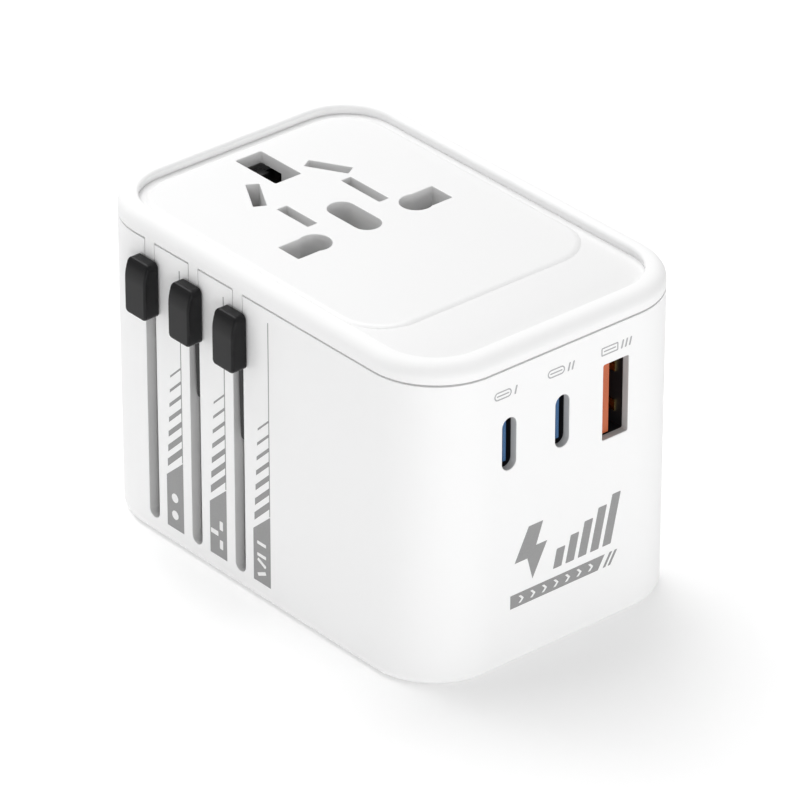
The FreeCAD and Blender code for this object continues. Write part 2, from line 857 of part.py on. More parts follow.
def make_eu_pins():
    """Two round pins with domed tips and their insulating sleeves."""
    top = carrier_tops["eu"]
    sleeve_top = carrier_bottoms["eu"]
    core = s.eu_pin_radius - s.sleeve_wall
    pins = []
    sleeves = []
    for side in (-1, 1):
        across = s.eu_pin_x * side
        tip = rod(across, s.eu_pin_y, s.tip_recess, s.eu_pin_radius, top - s.tip_recess)
        dome = document.addObject("Part::Fillet", "dome")
        dome.Base = tip
        document.recompute()
        low_edges = [
            (index, s.tip_round.value, s.tip_round.value)
            for index, edge in enumerate(tip.Shape.Edges, start=1)
            if at_height(edge, s.tip_recess.value)
        ]
        dome.Edges = low_edges
        neck = cut(
            rod(across, s.eu_pin_y, sleeve_top - s.sleeve_length, s.eu_pin_radius, s.sleeve_length),
            rod(across, s.eu_pin_y, sleeve_top - s.sleeve_length, core, s.sleeve_length),
        )
        pins.append(cut(dome, neck))
        sleeves.append(
            cut(
                rod(across, s.eu_pin_y, sleeve_top - s.sleeve_length, s.eu_pin_radius, s.sleeve_length),
                rod(across, s.eu_pin_y, sleeve_top - s.sleeve_length, core, s.sleeve_length),
            )
        )
    keep(group(*pins), "eu_pins")
    keep(group(*sleeves), "eu_pin_sleeves")


def make_uk_carrier():
    """Frame that carries the three flat pins around the round ones."""
    low = carrier_bottoms["uk"]
    top = carrier_tops["uk"]
    reach = s.uk_bar_width * HALF
    riser_left = s.eu_pin_x + s.eu_pin_radius + s.boss_margin + s.carrier_gap
    riser_right = inner_x - s.pillar_radius * 2 - s.riser_gap
    near = slots["uk"] - s.link_side_gap
    left_end = -s.uk_pin_x - s.uk_pin_width * HALF - s.boss_margin * HALF
    earth_front = uk_earth_y - s.uk_earth_depth * HALF - s.boss_margin * HALF
    earth_back = uk_earth_y + s.uk_earth_depth * HALF + s.boss_margin * HALF
    frame = fuse(
        make_link("uk"),
        block(bar_start, left_end + s.uk_pin_width, s.uk_pin_y, near, low, top),
        block(left_end, riser_right, s.uk_pin_y - reach, s.uk_pin_y + reach, low, top),
        block(riser_left, riser_right, s.uk_pin_y - reach, earth_back, low, top),
        block(-s.uk_earth_width, riser_right, earth_front, earth_back, low, top),
    )
    sockets = [uk_pin(side, low, top, 0) for side in (-1, 1)]
    sockets.append(uk_earth(low, top))
    return keep(cut(frame, *sockets), "uk_carrier")


def uk_pin(side, low, top, skin):
    """Plain block of one flat line or neutral pin, thinned by a skin all round."""
    wide = s.uk_pin_width * HALF - skin
    deep = s.uk_pin_thickness * HALF - skin
    middle = s.uk_pin_x * side
    return block(middle - wide, middle + wide, s.uk_pin_y - deep, s.uk_pin_y + deep, low, top)


def uk_earth(low, top):
    """Plain block of the earth pin."""
    wide = s.uk_earth_width * HALF
    deep = s.uk_earth_depth * HALF
    return block(-wide, wide, uk_earth_y - deep, uk_earth_y + deep, low, top)


def make_uk_pins():
    """Line and neutral pins with sleeves, and the longer plastic earth pin."""
    top = carrier_tops["uk"]
    low = carrier_bottoms["uk"]
    tip = s.tip_recess + s.uk_earth_length - s.uk_pin_length
    sleeve_low = low - s.sleeve_length
    pins = []
    sleeves = []
    for side in (-1, 1):
        collar = cut(
            uk_pin(side, sleeve_low, low, 0),
            uk_pin(side, sleeve_low, low, s.sleeve_wall),
        )
        pins.append(cut(uk_pin(side, tip, top, 0), collar))
        sleeves.append(
            cut(
                uk_pin(side, sleeve_low, low, 0),
                uk_pin(side, sleeve_low, low, s.sleeve_wall),
            )
        )
    keep(group(*pins), "uk_pins")
    keep(group(*sleeves), "uk_pin_sleeves")
    keep(uk_earth(s.tip_recess, top), "uk_earth_pin")


def make_us_carrier():
    """Bar with two round seats for the turning blades."""
    low = carrier_bottoms["us"]
    top = carrier_tops["us"]
    reach = s.us_bar_width * HALF
    end = s.us_pin_x + reach
    bar = block(bar_start, end, s.us_pin_y - reach, s.us_pin_y + reach, low, top)
    seats = []
    for side in (-1, 1):
        seats.append(rod(s.us_pin_x * side, s.us_pin_y, low, s.rotor_radius, top - low))
    return keep(cut(fuse(make_link("us"), bar), *seats), "us_carrier")


def make_us_blade(name, side):
    """Round rotor and the flat blade that turns with it."""
    low = carrier_bottoms["us"]
    top = carrier_tops["us"]
    across = s.us_pin_x * side
    seat = s.rotor_radius - s.rotor_fit
    flange_low = top + s.rotor_fit
    rotor = fuse(
        rod(across, s.us_pin_y, low, seat, top - low + s.rotor_fit),
        rod(across, s.us_pin_y, flange_low, s.rotor_radius + s.rotor_flange, s.rotor_flange_height),
    )
    wide = s.us_blade_thickness * HALF
    deep = s.us_blade_width * HALF
    blade_top = top + s.rotor_flange_height

    def blade(bottom):
        return block(
            across - wide,
            across + wide,
            s.us_pin_y - deep,
            s.us_pin_y + deep,
            bottom,
            blade_top,
        )

    keep(cut(rotor, blade(low)), f"us_rotor_{name}")
    keep(blade(s.tip_recess), f"us_blade_{name}")


def make_guide_wall():
    """Wall behind the slots, with a window that each carrier slides in."""
    front = slots["us"] - s.link_side_gap - s.link_width - s.guide_margin
    back = slots["eu"] + s.link_head_reach + s.guide_margin
    wall = block(guide_outer, guide_inner, front, back, s.floor_thickness, seam_height - s.skirt_depth)
    windows = []
    for name, centre in slots.items():
        near = centre - s.link_side_gap + s.guide_window_gap
        far = centre - s.link_side_gap - s.link_width - s.guide_window_gap
        top = carrier_tops[name] + s.stop_gap
        windows.append(block(guide_outer, guide_inner, far, near, s.floor_thickness, top))
    return keep(cut(wall, *windows), "guide_wall")


# ---------------------------------------------------------------- socket inside


def make_socket_base():
    """Insulating block under the shutter that holds the two contacts."""
    left = guide_inner
    right = half_width - s.wall - s.link_thickness
    front = s.divider_back
    back = inner_y - s.wall
    low = base_bottom
    floor_top = strap_bottom
    wall = s.base_wall
    contact_left = -s.flat_hole_reach - s.wall
    contact_front = s.round_hole_y - s.flat_hole_height - wall
    contact_back = s.slant_hole_y + s.slant_hole_length
    outer = block(contact_left, -contact_left, contact_front, contact_back, low, base_top)
    inner_left = contact_left + wall
    inner_right = -(s.centre_hole_radius + wall) + s.socket_x
    cavity = [
        block(inner_left, inner_right, contact_front + wall, contact_back - wall, floor_top, base_top),
        block(-inner_right, -inner_left, contact_front + wall, contact_back - wall, floor_top, base_top),
    ]
    earth_side = s.earth_hole_width * HALF + wall * HALF
    earth_well = block(
        s.socket_x - earth_side,
        s.socket_x + earth_side,
        s.earth_hole_y - s.earth_hole_length * HALF,
        s.earth_hole_y + s.earth_hole_length * HALF + wall,
        low,
        base_top,
    )
    centre_side = s.centre_hole_radius
    centre_well = block(
        s.socket_x - centre_side,
        s.socket_x + centre_side,
        s.centre_hole_low - centre_side,
        s.centre_hole_high + centre_side,
        floor_top,
        base_top,
    )
    posts = [
        block(low_x, high_x, spring_start - s.lug_depth, spring_start, base_top - s.post_height, shutter_top)
        for low_x, high_x in (
            (s.socket_x - spring_x - s.spring_radius, contact_left + wall),
            (-contact_left - wall, s.socket_x + spring_x + s.spring_radius),
        )
    ]
    notches = [
        block(
            strap_x * side - s.strap_width * HALF,
            strap_x * side + s.strap_width * HALF,
            contact_front,
            contact_front + wall,
            floor_top,
            floor_top + s.strap_thickness,
        )
        for side in (-1, 1)
    ]
    base = fuse(block(left, right, front, back - s.corner_radius * HALF, low, floor_top), outer, *posts)
    ears = [
        rod(across, along, low, s.pillar_radius - s.fit_gap, s.base_plate_height)
        for across, along in pillars
    ]
    bores = [
        rod(across, along, low, s.screw_radius + s.fit_gap, s.base_plate_height)
        for across, along in pillars
    ]
    return keep(cut(fuse(base, *ears), *cavity, *notches, earth_well, centre_well, *bores), "socket_base")


def make_contact(name, side):
    """Brass contact: a foot with pairs of leaves for each kind of pin."""
    foot_low = strap_bottom
    foot_top = foot_low + s.strap_thickness
    top = foot_low + s.contact_height
    leaf = s.contact_leaf

    def span(start, end):
        low = s.socket_x + start * side
        high = s.socket_x + end * side
        return (low, high) if side > 0 else (high, low)

    inner = s.round_hole_x - s.round_hole_radius
    left, right = span(s.blade_hole_x - s.blade_hole_width, s.flat_hole_reach)
    front = s.round_hole_y - s.flat_hole_height * HALF
    back = s.slant_hole_y + s.slant_hole_length * HALF
    parts = [block(left, right, front, back, foot_low, foot_top)]
    grip_left, grip_right = span(inner, s.flat_hole_reach)
    far = s.round_hole_y + s.uk_pin_thickness * HALF
    for along in (contact_near, far):
        parts.append(block(grip_left, grip_right, along, along + leaf, foot_low, top))
    for across in (
        s.blade_hole_x - s.us_blade_thickness * HALF - leaf,
        s.blade_hole_x + s.us_blade_thickness * HALF,
    ):
        low, high = span(across, across + leaf)
        start = s.blade_hole_y - s.live_hole_length * HALF + leaf
        end = s.blade_hole_y + s.live_hole_length * HALF
        parts.append(block(low, high, start, end, foot_low, top))
    for along in (-HALF, HALF):
        middle = s.slant_hole_y + s.slant_hole_width * along * 2
        low, high = span(s.slant_hole_x - s.slant_hole_width, s.slant_hole_x + s.slant_hole_width)
        parts.append(block(low, high, middle, middle + leaf, foot_low, top))
    return keep(fuse(*parts), f"{name}_contact")


def make_shutter():
    """Black sliding frame: two tabs under the round openings, a ramp in the earth opening."""
    low = shutter_bottom
    top = shutter_top
    reach = s.flat_hole_reach
    tab_front = s.round_hole_y
    bar_back = s.earth_hole_y + s.earth_hole_length * HALF + s.shutter_ramp_height * HALF
    bar_front = bar_back - s.shutter_bar_depth
    parts = [block(s.socket_x - reach, s.socket_x + reach, bar_front, bar_back, low, top)]
    for side in (-1, 1):
        outer = s.socket_x + reach * side
        rail = s.socket_x + (reach - s.shutter_rail_width) * side
        tab = s.socket_x + (s.round_hole_x - s.round_hole_radius * HALF) * side
        rail_left, rail_right = (rail, outer) if side > 0 else (outer, rail)
        tab_left, tab_right = (tab, outer) if side > 0 else (outer, tab)
        parts.append(block(rail_left, rail_right, tab_front, bar_back, low, top))
        parts.append(block(tab_left, tab_right, tab_front, tab_front + s.shutter_tab_depth, low, top))
        tip = s.socket_x + (spring_x + s.spring_radius) * side
        lug_left, lug_right = (rail, tip) if side > 0 else (tip, rail)
        parts.append(block(lug_left, lug_right, spring_end, spring_end + s.lug_depth, low, top))
    half_ramp = s.earth_hole_width * HALF - s.shutter_gap
    parts.append(
        block(
            s.socket_x - half_ramp,
            s.socket_x + half_ramp,
            bar_front,
            bar_back - s.shutter_ramp_height * HALF - s.shutter_gap,
            top,
            top + s.shutter_ramp_height,
        )
    )
    return keep(fuse(*parts), "shutter")


def make_coil(label, starts, radius, wire, pitch, turns):
    """Round-wire coils along Y, one from each starting point."""
    solids = []
    for start in starts:
        helix = Part.makeHelix(pitch, pitch * turns, radius)
        ring = Part.Circle(FreeCAD.Vector(radius, 0, 0), FreeCAD.Vector(0, 1, 0), wire)
        section = Part.Wire([ring.toShape()])
        coil = Part.Wire(helix.Edges).makePipeShell([section], True, True)
        coil.rotate(FreeCAD.Vector(0, 0, 0), FreeCAD.Vector(1, 0, 0), -QUARTER_TURN)
        coil.translate(FreeCAD.Vector(*start))
        solids.append(coil)
    item = document.addObject("Part::Feature", label)
    item.Shape = Part.makeCompound(solids)
    item.Placement = FreeCAD.Placement()
    return keep(item, label)


# ---------------------------------------------------------------- electronics


def make_receptacle(label, across, wide, tall, tongue_wide, tongue_tall, tongue_shift):
    """Metal shell behind a port opening and the tongue inside it."""
    wall = s.port_shell_wall
    half_wide = wide * HALF
    half_tall = tall * HALF
    front = port_front
    low = ports_height - half_tall
    high = ports_height + half_tall
    outer = block(
        across - half_wide - wall, across + half_wide + wall, front, port_back, low - wall, high + wall
    )
    mouth = block(across - half_wide, across + half_wide, front, port_back - wall, low, high)
    keep(cut(outer, mouth), f"{label}_shell")
    middle = across + tongue_shift
    half_tongue = tongue_wide * HALF
    keep(
        block(
            middle - half_tongue,
            middle + half_tongue,
            -half_depth + s.tongue_recess,
            port_back - wall,
            ports_height - tongue_tall * HALF,
            ports_height + tongue_tall * HALF,
        ),
        f"{label}_tongue",
    )


def make_boards():
    """USB board behind the receptacles, mains board on the floor, and the divider."""
    board_back = port_back + s.board_thickness
    usb_low = board_top + s.transformer_height + s.wall
    usb_top = seam_height - s.skirt_depth - s.fit_gap
    keep(block(-board_side, board_side, port_back, board_back, usb_low, usb_top), "usb_board")
    back = divider_front - s.wall
    low = s.mains_board_bottom
    keep(block(-board_side, board_side, board_front, back, low, board_top), "mains_board")
    keep(
        block(-inner_x, inner_x, divider_front, s.divider_back, s.floor_thickness, base_bottom),
        "bay_divider",
    )
    feet = []
    for across in (-board_side + s.wall, board_side - s.wall * 2):
        for along in (board_front + s.wall, back - s.wall * 2):
            feet.append(block(across, across + s.wall, along, along + s.wall, s.floor_thickness, low))
    keep(group(*feet), "board_spacers")


def make_transformer():
    """Ferrite core around a bobbin with its winding."""
    left = -s.transformer_width * HALF
    right = s.transformer_width * HALF
    front = board_front + s.part_gap
    back = front + s.transformer_depth
    top = board_top + s.transformer_height
    limb = s.transformer_limb
    low = board_top + limb
    tall = s.transformer_height - limb * 2
    middle = (front + back) * HALF
    axis = as_size(0)
    window = block(left + limb, right - limb, front, back, low, top - limb)
    post = rod(axis, middle, low, limb, tall)
    keep(fuse(cut(block(left, right, front, back, board_top, top), window), post), "transformer_core")
    bobbin = rod(axis, middle, low, limb * 2 - s.fit_gap, tall)
    bore = rod(axis, middle, low, limb, tall)
    keep(cut(bobbin, bore), "transformer_winding")


def make_mains_parts():
    """Capacitors, choke and switching chip with its heat spreader."""
    across = -board_side + s.capacitor_radius + s.part_gap
    cans = []
    for count in (0, 1):
        step = (s.capacitor_radius * 2 + s.part_gap) * count
        along = board_front + s.capacitor_radius + s.part_gap + step
        cans.append(rod(across, along, board_top, s.capacitor_radius, s.capacitor_height))
    keep(group(*cans), "bulk_capacitors")
    right = board_side - s.inductor_radius - s.part_gap
    along = divider_front - s.inductor_setback - s.inductor_radius - s.part_gap
    choke = cut(
        rod(right, along, board_top, s.inductor_radius, s.inductor_height),
        rod(right, along, board_top, s.inductor_radius * HALF, s.inductor_height),
    )
    keep(choke, "input_choke")
    left = right - s.chip_width * HALF
    end = left + s.chip_width
    front = board_front + s.part_gap
    back = front + s.chip_depth
    chip_top = board_top + s.chip_height
    top = chip_top + s.spreader_height
    keep(block(left, end, front, back, board_top, chip_top), "switching_chip")
    fin_low = chip_top + s.chip_height
    fins = []
    for count in (1, 2):
        edge = front + s.fin_gap * (2 * count - 1)
        fins.append(block(left, end, edge, edge + s.fin_gap, fin_low, top))
    keep(cut(block(left, end, front, back, chip_top, top), *fins), "heat_spreader")


def make_fuse():
    """Ceramic fuse across two spring clips, and the straps that reach the contacts."""
    middle = (port_back + s.board_thickness + divider_front) * HALF
    strap_top = strap_bottom + s.strap_thickness
    height = strap_top + s.strap_thickness + s.fuse_radius
    start = -s.fuse_length * HALF
    keep(rod(start, middle, height, s.fuse_radius, s.fuse_length, "X"), "fuse")
    clips = []
    for side in (-1, 1):
        left = strap_x * side - s.strap_width * HALF
        right = left + s.strap_width
        reach = s.fuse_radius + s.strap_thickness
        top = height + s.fuse_radius * HALF
        outer = block(left, right, middle - reach, middle + reach, strap_top, top)
        seat = rod(left, middle, height, s.fuse_radius, s.strap_width, "X")
        throat = s.fuse_radius * HALF
        mouth = block(left, right, middle - throat, middle + throat, height, height + s.fuse_radius)
        clips.append(cut(outer, seat, mouth))
    keep(group(*clips), "fuse_clips")
    for name, side in (("line", -1), ("neutral", 1)):
        left = strap_x * side - s.strap_width * HALF
        strap = block(
            left,
            left + s.strap_width,
            port_back + s.board_thickness,
            contact_near,
            strap_bottom,
            strap_top,
        )
        keep(strap, f"{name}_strap")


def make_screws():
    """Pan-head screws that hold the socket base on its pillars."""
    screws = []
    for across, along in pillars:
        top = base_bottom + s.base_plate_height
        shank = rod(across, along, top - s.screw_length, s.screw_radius, s.screw_length)
        head = rod(across, along, top, s.screw_head_radius, s.screw_head_height)
        slot = block(
            across - s.screw_head_radius,
            across + s.screw_head_radius,
            along - s.sleeve_wall,
            along + s.sleeve_wall,
            top + s.screw_head_height * HALF,
            top + s.screw_head_height,
        )
        screws.append(cut(fuse(shank, head), slot))
    return keep(group(*screws), "base_screws")


def make_everything():
    """Build every sub-part in the order in which the adapter is put together."""
    make_main_shell()
    make_plug_plate()
    make_top_frame()
    make_socket_plate()
    make_guide_wall()
    make_socket_base()
    make_contact("line", -1)
    make_contact("neutral", 1)
    make_shutter()
    height = (shutter_top + shutter_bottom) * HALF
    starts = [
        (
            s.socket_x.value + spring_x.value * side,
            spring_start.value + s.spring_wire.value,
            height.value,
        )
        for side in (-1, 1)
    ]
    make_coil("shutter_springs", starts, SIZES["spring_radius"], SIZES["spring_wire"],
              SIZES["spring_pitch"], SIZES["spring_turns"])
    for name in slots:
        make_knob(name)
    make_lock_arm("uk", s.uk_arm_length)
    make_lock_arm("us", s.us_arm_length)
    make_eu_carrier()
    make_eu_pins()
    make_uk_carrier()
    make_uk_pins()
    make_us_carrier()
    make_us_blade("left", -1)
    make_us_blade("right", 1)
    for number, centre in c_ports.items():
        make_receptacle(f"usb_c{number}", centre, s.c_port_width, s.c_port_height,
                        s.c_tongue_width, s.c_tongue_height, 0)
    make_receptacle("usb_a", s.a_port_x, s.a_port_width, s.a_port_height,
                    s.a_tongue_width, s.a_tongue_height, -s.a_tongue_offset)
    make_boards()
    make_transformer()
    make_mains_parts()
    make_fuse()
    make_screws()


def check_and_write():
    """Stop on any failed object, then write one file for each sub-part."""
    document.recompute()
    for item in document.Objects:
        if "Invalid" in item.State or "Error" in item.State:
            raise RuntimeError(f"{item.Label} failed: {item.State}")
    for item in nodes:
        if item.Shape.isNull() or not item.Shape.isValid():
            raise RuntimeError(f"{item.Label} has no valid shape")
    os.makedirs("parts", exist_ok=True)
    for item in nodes:
        item.Shape.exportStep(f"parts/{item.Label}.step")
        box = item.Shape.BoundBox
        print(f"{item.Label}: {len(item.Shape.Solids)} solids, {item.Shape.Volume:.1f} mm3, "
              f"x {box.XMin:.2f}..{box.XMax:.2f}, y {box.YMin:.2f}..{box.YMax:.2f}, "
              f"z {box.ZMin:.2f}..{box.ZMax:.2f}")


make_everything()
check_and_write()
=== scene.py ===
"""Looks of a universal travel adapter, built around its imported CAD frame.

Lengths inside the script are metres.  Sizes that a user would change are properties of the
scene, and everything else is worked out from them or from the boxes of the frame's nodes.
"""

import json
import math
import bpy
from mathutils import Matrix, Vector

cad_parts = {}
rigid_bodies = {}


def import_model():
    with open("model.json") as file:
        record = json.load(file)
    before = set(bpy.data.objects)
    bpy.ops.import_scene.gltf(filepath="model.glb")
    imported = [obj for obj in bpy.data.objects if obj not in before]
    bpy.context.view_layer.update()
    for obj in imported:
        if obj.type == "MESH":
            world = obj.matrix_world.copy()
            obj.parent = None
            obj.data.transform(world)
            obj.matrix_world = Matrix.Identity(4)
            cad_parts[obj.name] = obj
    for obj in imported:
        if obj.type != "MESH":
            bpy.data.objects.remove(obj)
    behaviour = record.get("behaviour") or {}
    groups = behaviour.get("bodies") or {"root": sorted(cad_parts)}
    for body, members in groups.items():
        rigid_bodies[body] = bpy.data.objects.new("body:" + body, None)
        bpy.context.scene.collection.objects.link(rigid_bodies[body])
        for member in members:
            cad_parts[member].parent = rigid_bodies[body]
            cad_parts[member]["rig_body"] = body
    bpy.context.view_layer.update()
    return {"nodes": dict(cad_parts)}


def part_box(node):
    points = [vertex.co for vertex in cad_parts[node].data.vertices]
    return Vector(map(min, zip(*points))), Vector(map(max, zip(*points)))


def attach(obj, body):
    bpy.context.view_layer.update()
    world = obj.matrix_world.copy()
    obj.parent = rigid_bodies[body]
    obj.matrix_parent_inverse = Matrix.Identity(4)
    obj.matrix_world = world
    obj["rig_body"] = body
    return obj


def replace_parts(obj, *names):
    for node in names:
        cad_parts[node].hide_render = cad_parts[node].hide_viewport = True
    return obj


bl_info = {
    "name": "Travel adapter",
    "version": (1, 0, 0),
    "blender": (4, 5, 0),
    "location": "3D View > Sidebar > Adapter",
    "description": "Builds the visible pieces of a universal travel adapter",
    "category": "Object",
}

import bmesh
import bpy
from bpy.props import FloatProperty, FloatVectorProperty, IntProperty, PointerProperty
from mathutils import Matrix, Vector

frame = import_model()

MM = 0.001
MERGE = 0.001 * MM
FLAT = math.radians(0.5)
SHARP = math.radians(40)
NEVER_SHARP = math.radians(360)
QUARTER = 90
HALF_TURN = 180
ROUND_STEPS = 5
CORNER_STEPS = 24
SLIDERS = ("us", "uk", "eu")
SIDES = (-1, 1)
SOCKET_KINDS = {int: "NodeSocketInt", float: "NodeSocketFloat", tuple: "NodeSocketVector"}


def mm(*values):
    """Millimetres as metres."""
    return [value * MM for value in values]


# ---- user's sizes and colours


def length(name, millimetres, description):
    """A size property, given in millimetres and kept in metres."""
    return FloatProperty(
        name=name, description=description, default=millimetres * MM, unit="LENGTH", precision=5
    )


def colour(name, red, green, blue, description):
    """A colour property."""
    base = (red, green, blue)
    return FloatVectorProperty(
        name=name, description=description, default=base, subtype="COLOR", min=0, max=1
    )


class ADAPTER_PG_sizes(bpy.types.PropertyGroup):
    """Sizes of the housing, its openings and its printed marks."""

    corner: length("Corner", 11.4, "Radius of the four upright corners")
    wall: length("Wall", 1.8, "Thickness of the side walls")
    floor: length("Floor", 2.0, "Thickness of the floor")
    bottom_round: length("Bottom edge", 1.6, "Rounding of the lower edge")
    lip: length("Opening lip", 0.16, "Rounding where an opening meets a face")
    ink: length("Ink", 0.03, "Room kept for printed marks on the outer faces")
    seam_gap: length("Seam gap", 0.15, "Half the height of the groove between shell and rim")
    seam_depth: length("Seam depth", 0.9, "Depth of the groove between shell and rim")
    rim_width: length("Rim width", 2.55, "Width of the rim seen from above")
    rim_round: length("Rim outer edge", 2.0, "Rounding of the rim's outer edge")
    rim_inner: length("Rim inner edge", 0.55, "Rounding of the rim's inner edge")
    slot_width: length("Slot width", 2.3, "Width of each slider slot")
    slot_first: length("First slot", 3.3, "Place of the first slot along the side")
    slot_pitch: length("Slot pitch", 10.0, "Distance from one slot to the next")
    slot_bottom: length("Slot bottom", 3.0, "Height where the slots end")
    ports_height: length("Ports height", 37.0, "Height of the middle of the ports")
    c_width: length("Small port width", 2.6, "Width of the two small ports")
    c_height: length("Small port height", 8.4, "Height of the two small ports")
    a_width: length("Large port width", 4.8, "Width of the large port")
    a_height: length("Large port height", 12.3, "Height of the large port")
    pad_rise: length("Pad rise", 0.35, "Height of the raised pad on the plate")
    pad_side: length("Pad side", 1.4, "Width of the border beside the pad")
    pad_front: length("Pad front", 13.3, "Width of the border in front of the pad")
    pad_corner: length("Pad corner", 7.5, "Radius of the pad's corners")
    pad_slope: length("Pad slope", 0.9, "Width of the pad's curved edge at its sides")
    pad_front_slope: length("Pad front slope", 1.1, "Width of the pad's curved edge at its front")
    socket_x: length("Socket middle", -0.3, "Place of the socket's middle line across the plate")
    knob_round: length("Knob edges", 0.42, "Rounding of the knobs' edges")
    knob_brow: length("Knob brow", 3.4, "Height of the part of each knob that leans back")
    knob_lean: length("Knob lean", 0.85, "How far the top of each knob leans back")
    stripes: IntProperty(name="Stripes", description="Printed stripes beside each slot", default=7)
    stripe_pitch: length("Stripe pitch", 2.24, "Distance from one printed stripe to the next")


class ADAPTER_PG_colours(bpy.types.PropertyGroup):
    """Colours of the materials."""

    white: colour("White shell", 0.85, 0.85, 0.85, "Satin white of the shell and rim")
    gloss: colour("White plate", 0.87, 0.87, 0.87, "Smoother white of the socket plate")
    inner: colour("Inner plastic", 0.42, 0.42, 0.41, "Light plastic of the inner parts")
    black: colour("Black plastic", 0.006, 0.006, 0.0065, "Black of the knobs and the shutter")
    ink: colour("Printed grey", 0.30, 0.30, 0.30, "Grey ink of the marks")
    pale_ink: colour("Pale grey", 0.42, 0.42, 0.43, "Lighter ink of the port marks")
    blue: colour("Blue tongue", 0.028, 0.115, 0.27, "Blue of the small ports' tongues")
    orange: colour("Orange tongue", 0.54, 0.115, 0.03, "Orange of the large port's tongue")
    nickel: colour("Nickel", 0.72, 0.71, 0.69, "Nickel plate of the pins")
    steel: colour("Steel", 0.46, 0.46, 0.48, "Bright steel of the port shells and springs")
    brass: colour("Brass", 0.78, 0.55, 0.23, "Brass of the socket contacts")
    board: colour("Board", 0.02, 0.13, 0.055, "Green of the circuit boards")


def sizes():
    """The size properties of the current scene."""
    return bpy.context.scene.adapter_sizes


def slot_y(name):
    """Place of a slider's slot along the side."""
    size = sizes()
    return size.slot_first + size.slot_pitch * SLIDERS.index(name)


# ---- outlines


def tidy(points):
    """The points without the ones that repeat their neighbour."""
    kept = []
    for index, point in enumerate(points):
        if (Vector(point) - Vector(points[index - 1])).length > MERGE:
            kept.append(point)
    return kept


def arc(x, y, radius, start, turn, steps):
    """Points along an arc, with its ends."""
    angles = [math.radians(start + turn * step / steps) for step in range(steps + 1)]
    return [(x + radius * math.cos(angle), y + radius * math.sin(angle)) for angle in angles]


def rounded(left, right, low, high, radius, steps=CORNER_STEPS):
    """Rounded rectangle, anticlockwise."""
    centres = (
        (right - radius, low + radius, -QUARTER),
        (right - radius, high - radius, 0),
        (left + radius, high - radius, QUARTER),
        (left + radius, low + radius, HALF_TURN),
    )
    points = []
    for x, y, start in centres:
        points += arc(x, y, radius, start, QUARTER, steps)
    return tidy(points)


def centred(x, y, width, height, radius, steps=8):
    """Rounded rectangle about its middle."""
    half_x = width / 2
    half_y = height / 2
    radius = min(radius, half_x, half_y)
    return rounded(x - half_x, x + half_x, y - half_y, y + half_y, radius, steps)


def circle(x, y, radius, steps=48):
    """Circle, anticlockwise."""
    return arc(x, y, radius, 0, 2 * HALF_TURN, steps)[:-1]


def turned(points, degrees, x, y):
    """Points turned about a middle."""
    angle = math.radians(degrees)
    cos, sin = math.cos(angle), math.sin(angle)
    return [
        (x + (u - x) * cos - (v - y) * sin, y + (u - x) * sin + (v - y) * cos) for u, v in points
    ]


def slant(points, level, amount):
    """Outline leaned to the right above a level."""
    return [(u + (v - level) * amount, v) for u, v in points]


def grown(points, distance):
    """Outline moved outwards by a distance, or inwards by a negative one."""
    if not distance:
        return points
    least_turn = 0.3
    outline = []
    count = len(points)
    for index in range(count):
        before, here, after = (Vector(points[(index + step) % count]) for step in (-1, 0, 1))
        first = (here - before).normalized()
        second = (after - here).normalized()
        middle = Vector((first.y + second.y, -first.x - second.x)).normalized()
        reach = distance / max(least_turn, middle.dot(Vector((first.y, -first.x))))
        outline.append(tuple(here + middle * reach))
    return outline


# ---- meshes


def at(axis, u, v, w):
    """Point from its two outline coordinates and its place along an axis."""
    return {"x": (w, u, v), "y": (u, w, v), "z": (u, v, w)}[axis]


def linked(name, data):
    """Object that holds some data, in the scene."""
    thing = bpy.data.objects.new(name, data)
    bpy.context.scene.collection.objects.link(thing)
    return thing


def as_object(name, mesh):
    """Object from a bmesh, which is freed."""
    data = bpy.data.meshes.new(name)
    mesh.to_mesh(data)
    mesh.free()
    return linked(name, data)


def skin(name, rings, looped=False):
    """Closed piece from rings of points, each joined to the next."""
    mesh = bmesh.new()
    rows = [[mesh.verts.new(point) for point in ring] for ring in rings]
    if looped:
        rows.append(rows[0])
    count = len(rings[0])
    for lower, upper in zip(rows, rows[1:]):
        for index in range(count):
            after = (index + 1) % count
            mesh.faces.new((lower[index], lower[after], upper[after], upper[index]))
    if not looped:
        mesh.faces.new(list(reversed(rows[0])))
        mesh.faces.new(rows[-1])
    bmesh.ops.recalc_face_normals(mesh, faces=mesh.faces)
    return as_object(name, mesh)


def stack(name, outline, axis, profile, looped=False):
    """Piece whose outline grows by each profile step's amount at its place along the axis."""
    rings = []
    for growth, place in profile:
        rings.append([at(axis, u, v, place) for u, v in grown(outline, growth)])
    return skin(name, rings, looped)


def convex_round(radius, base, direction, steps=ROUND_STEPS):
    """Profile of a rounded end: from the end face out to the side wall."""
    profile = []
    for step in range(steps + 1):
        angle = math.radians(QUARTER * step / steps)
        inset = radius * (1 - math.sin(angle))
        profile.append((-inset, base + direction * radius * (1 - math.cos(angle))))
    return profile


def block(name, outline, axis, start, end, start_round=0.0, end_round=0.0):
    """Prism from start to end along an axis, with each end's edge rounded."""
    direction = 1 if end > start else -1
    first = convex_round(start_round, start, direction) if start_round else [(0, start)]
    last = convex_round(end_round, end, -direction) if end_round else [(0, end)]
    return stack(name, outline, axis, first + last[::-1])


def opening(outline, axis, face, depth, lip, inward):
    """Cutter that enters a face with a rounded lip and goes in to a depth."""
    entry = [(-growth, place) for growth, place in convex_round(lip, face, inward)]
    profile = [(lip, face - inward * MM), *entry, (0, face + inward * depth)]
    return stack("cutter", outline, axis, profile)


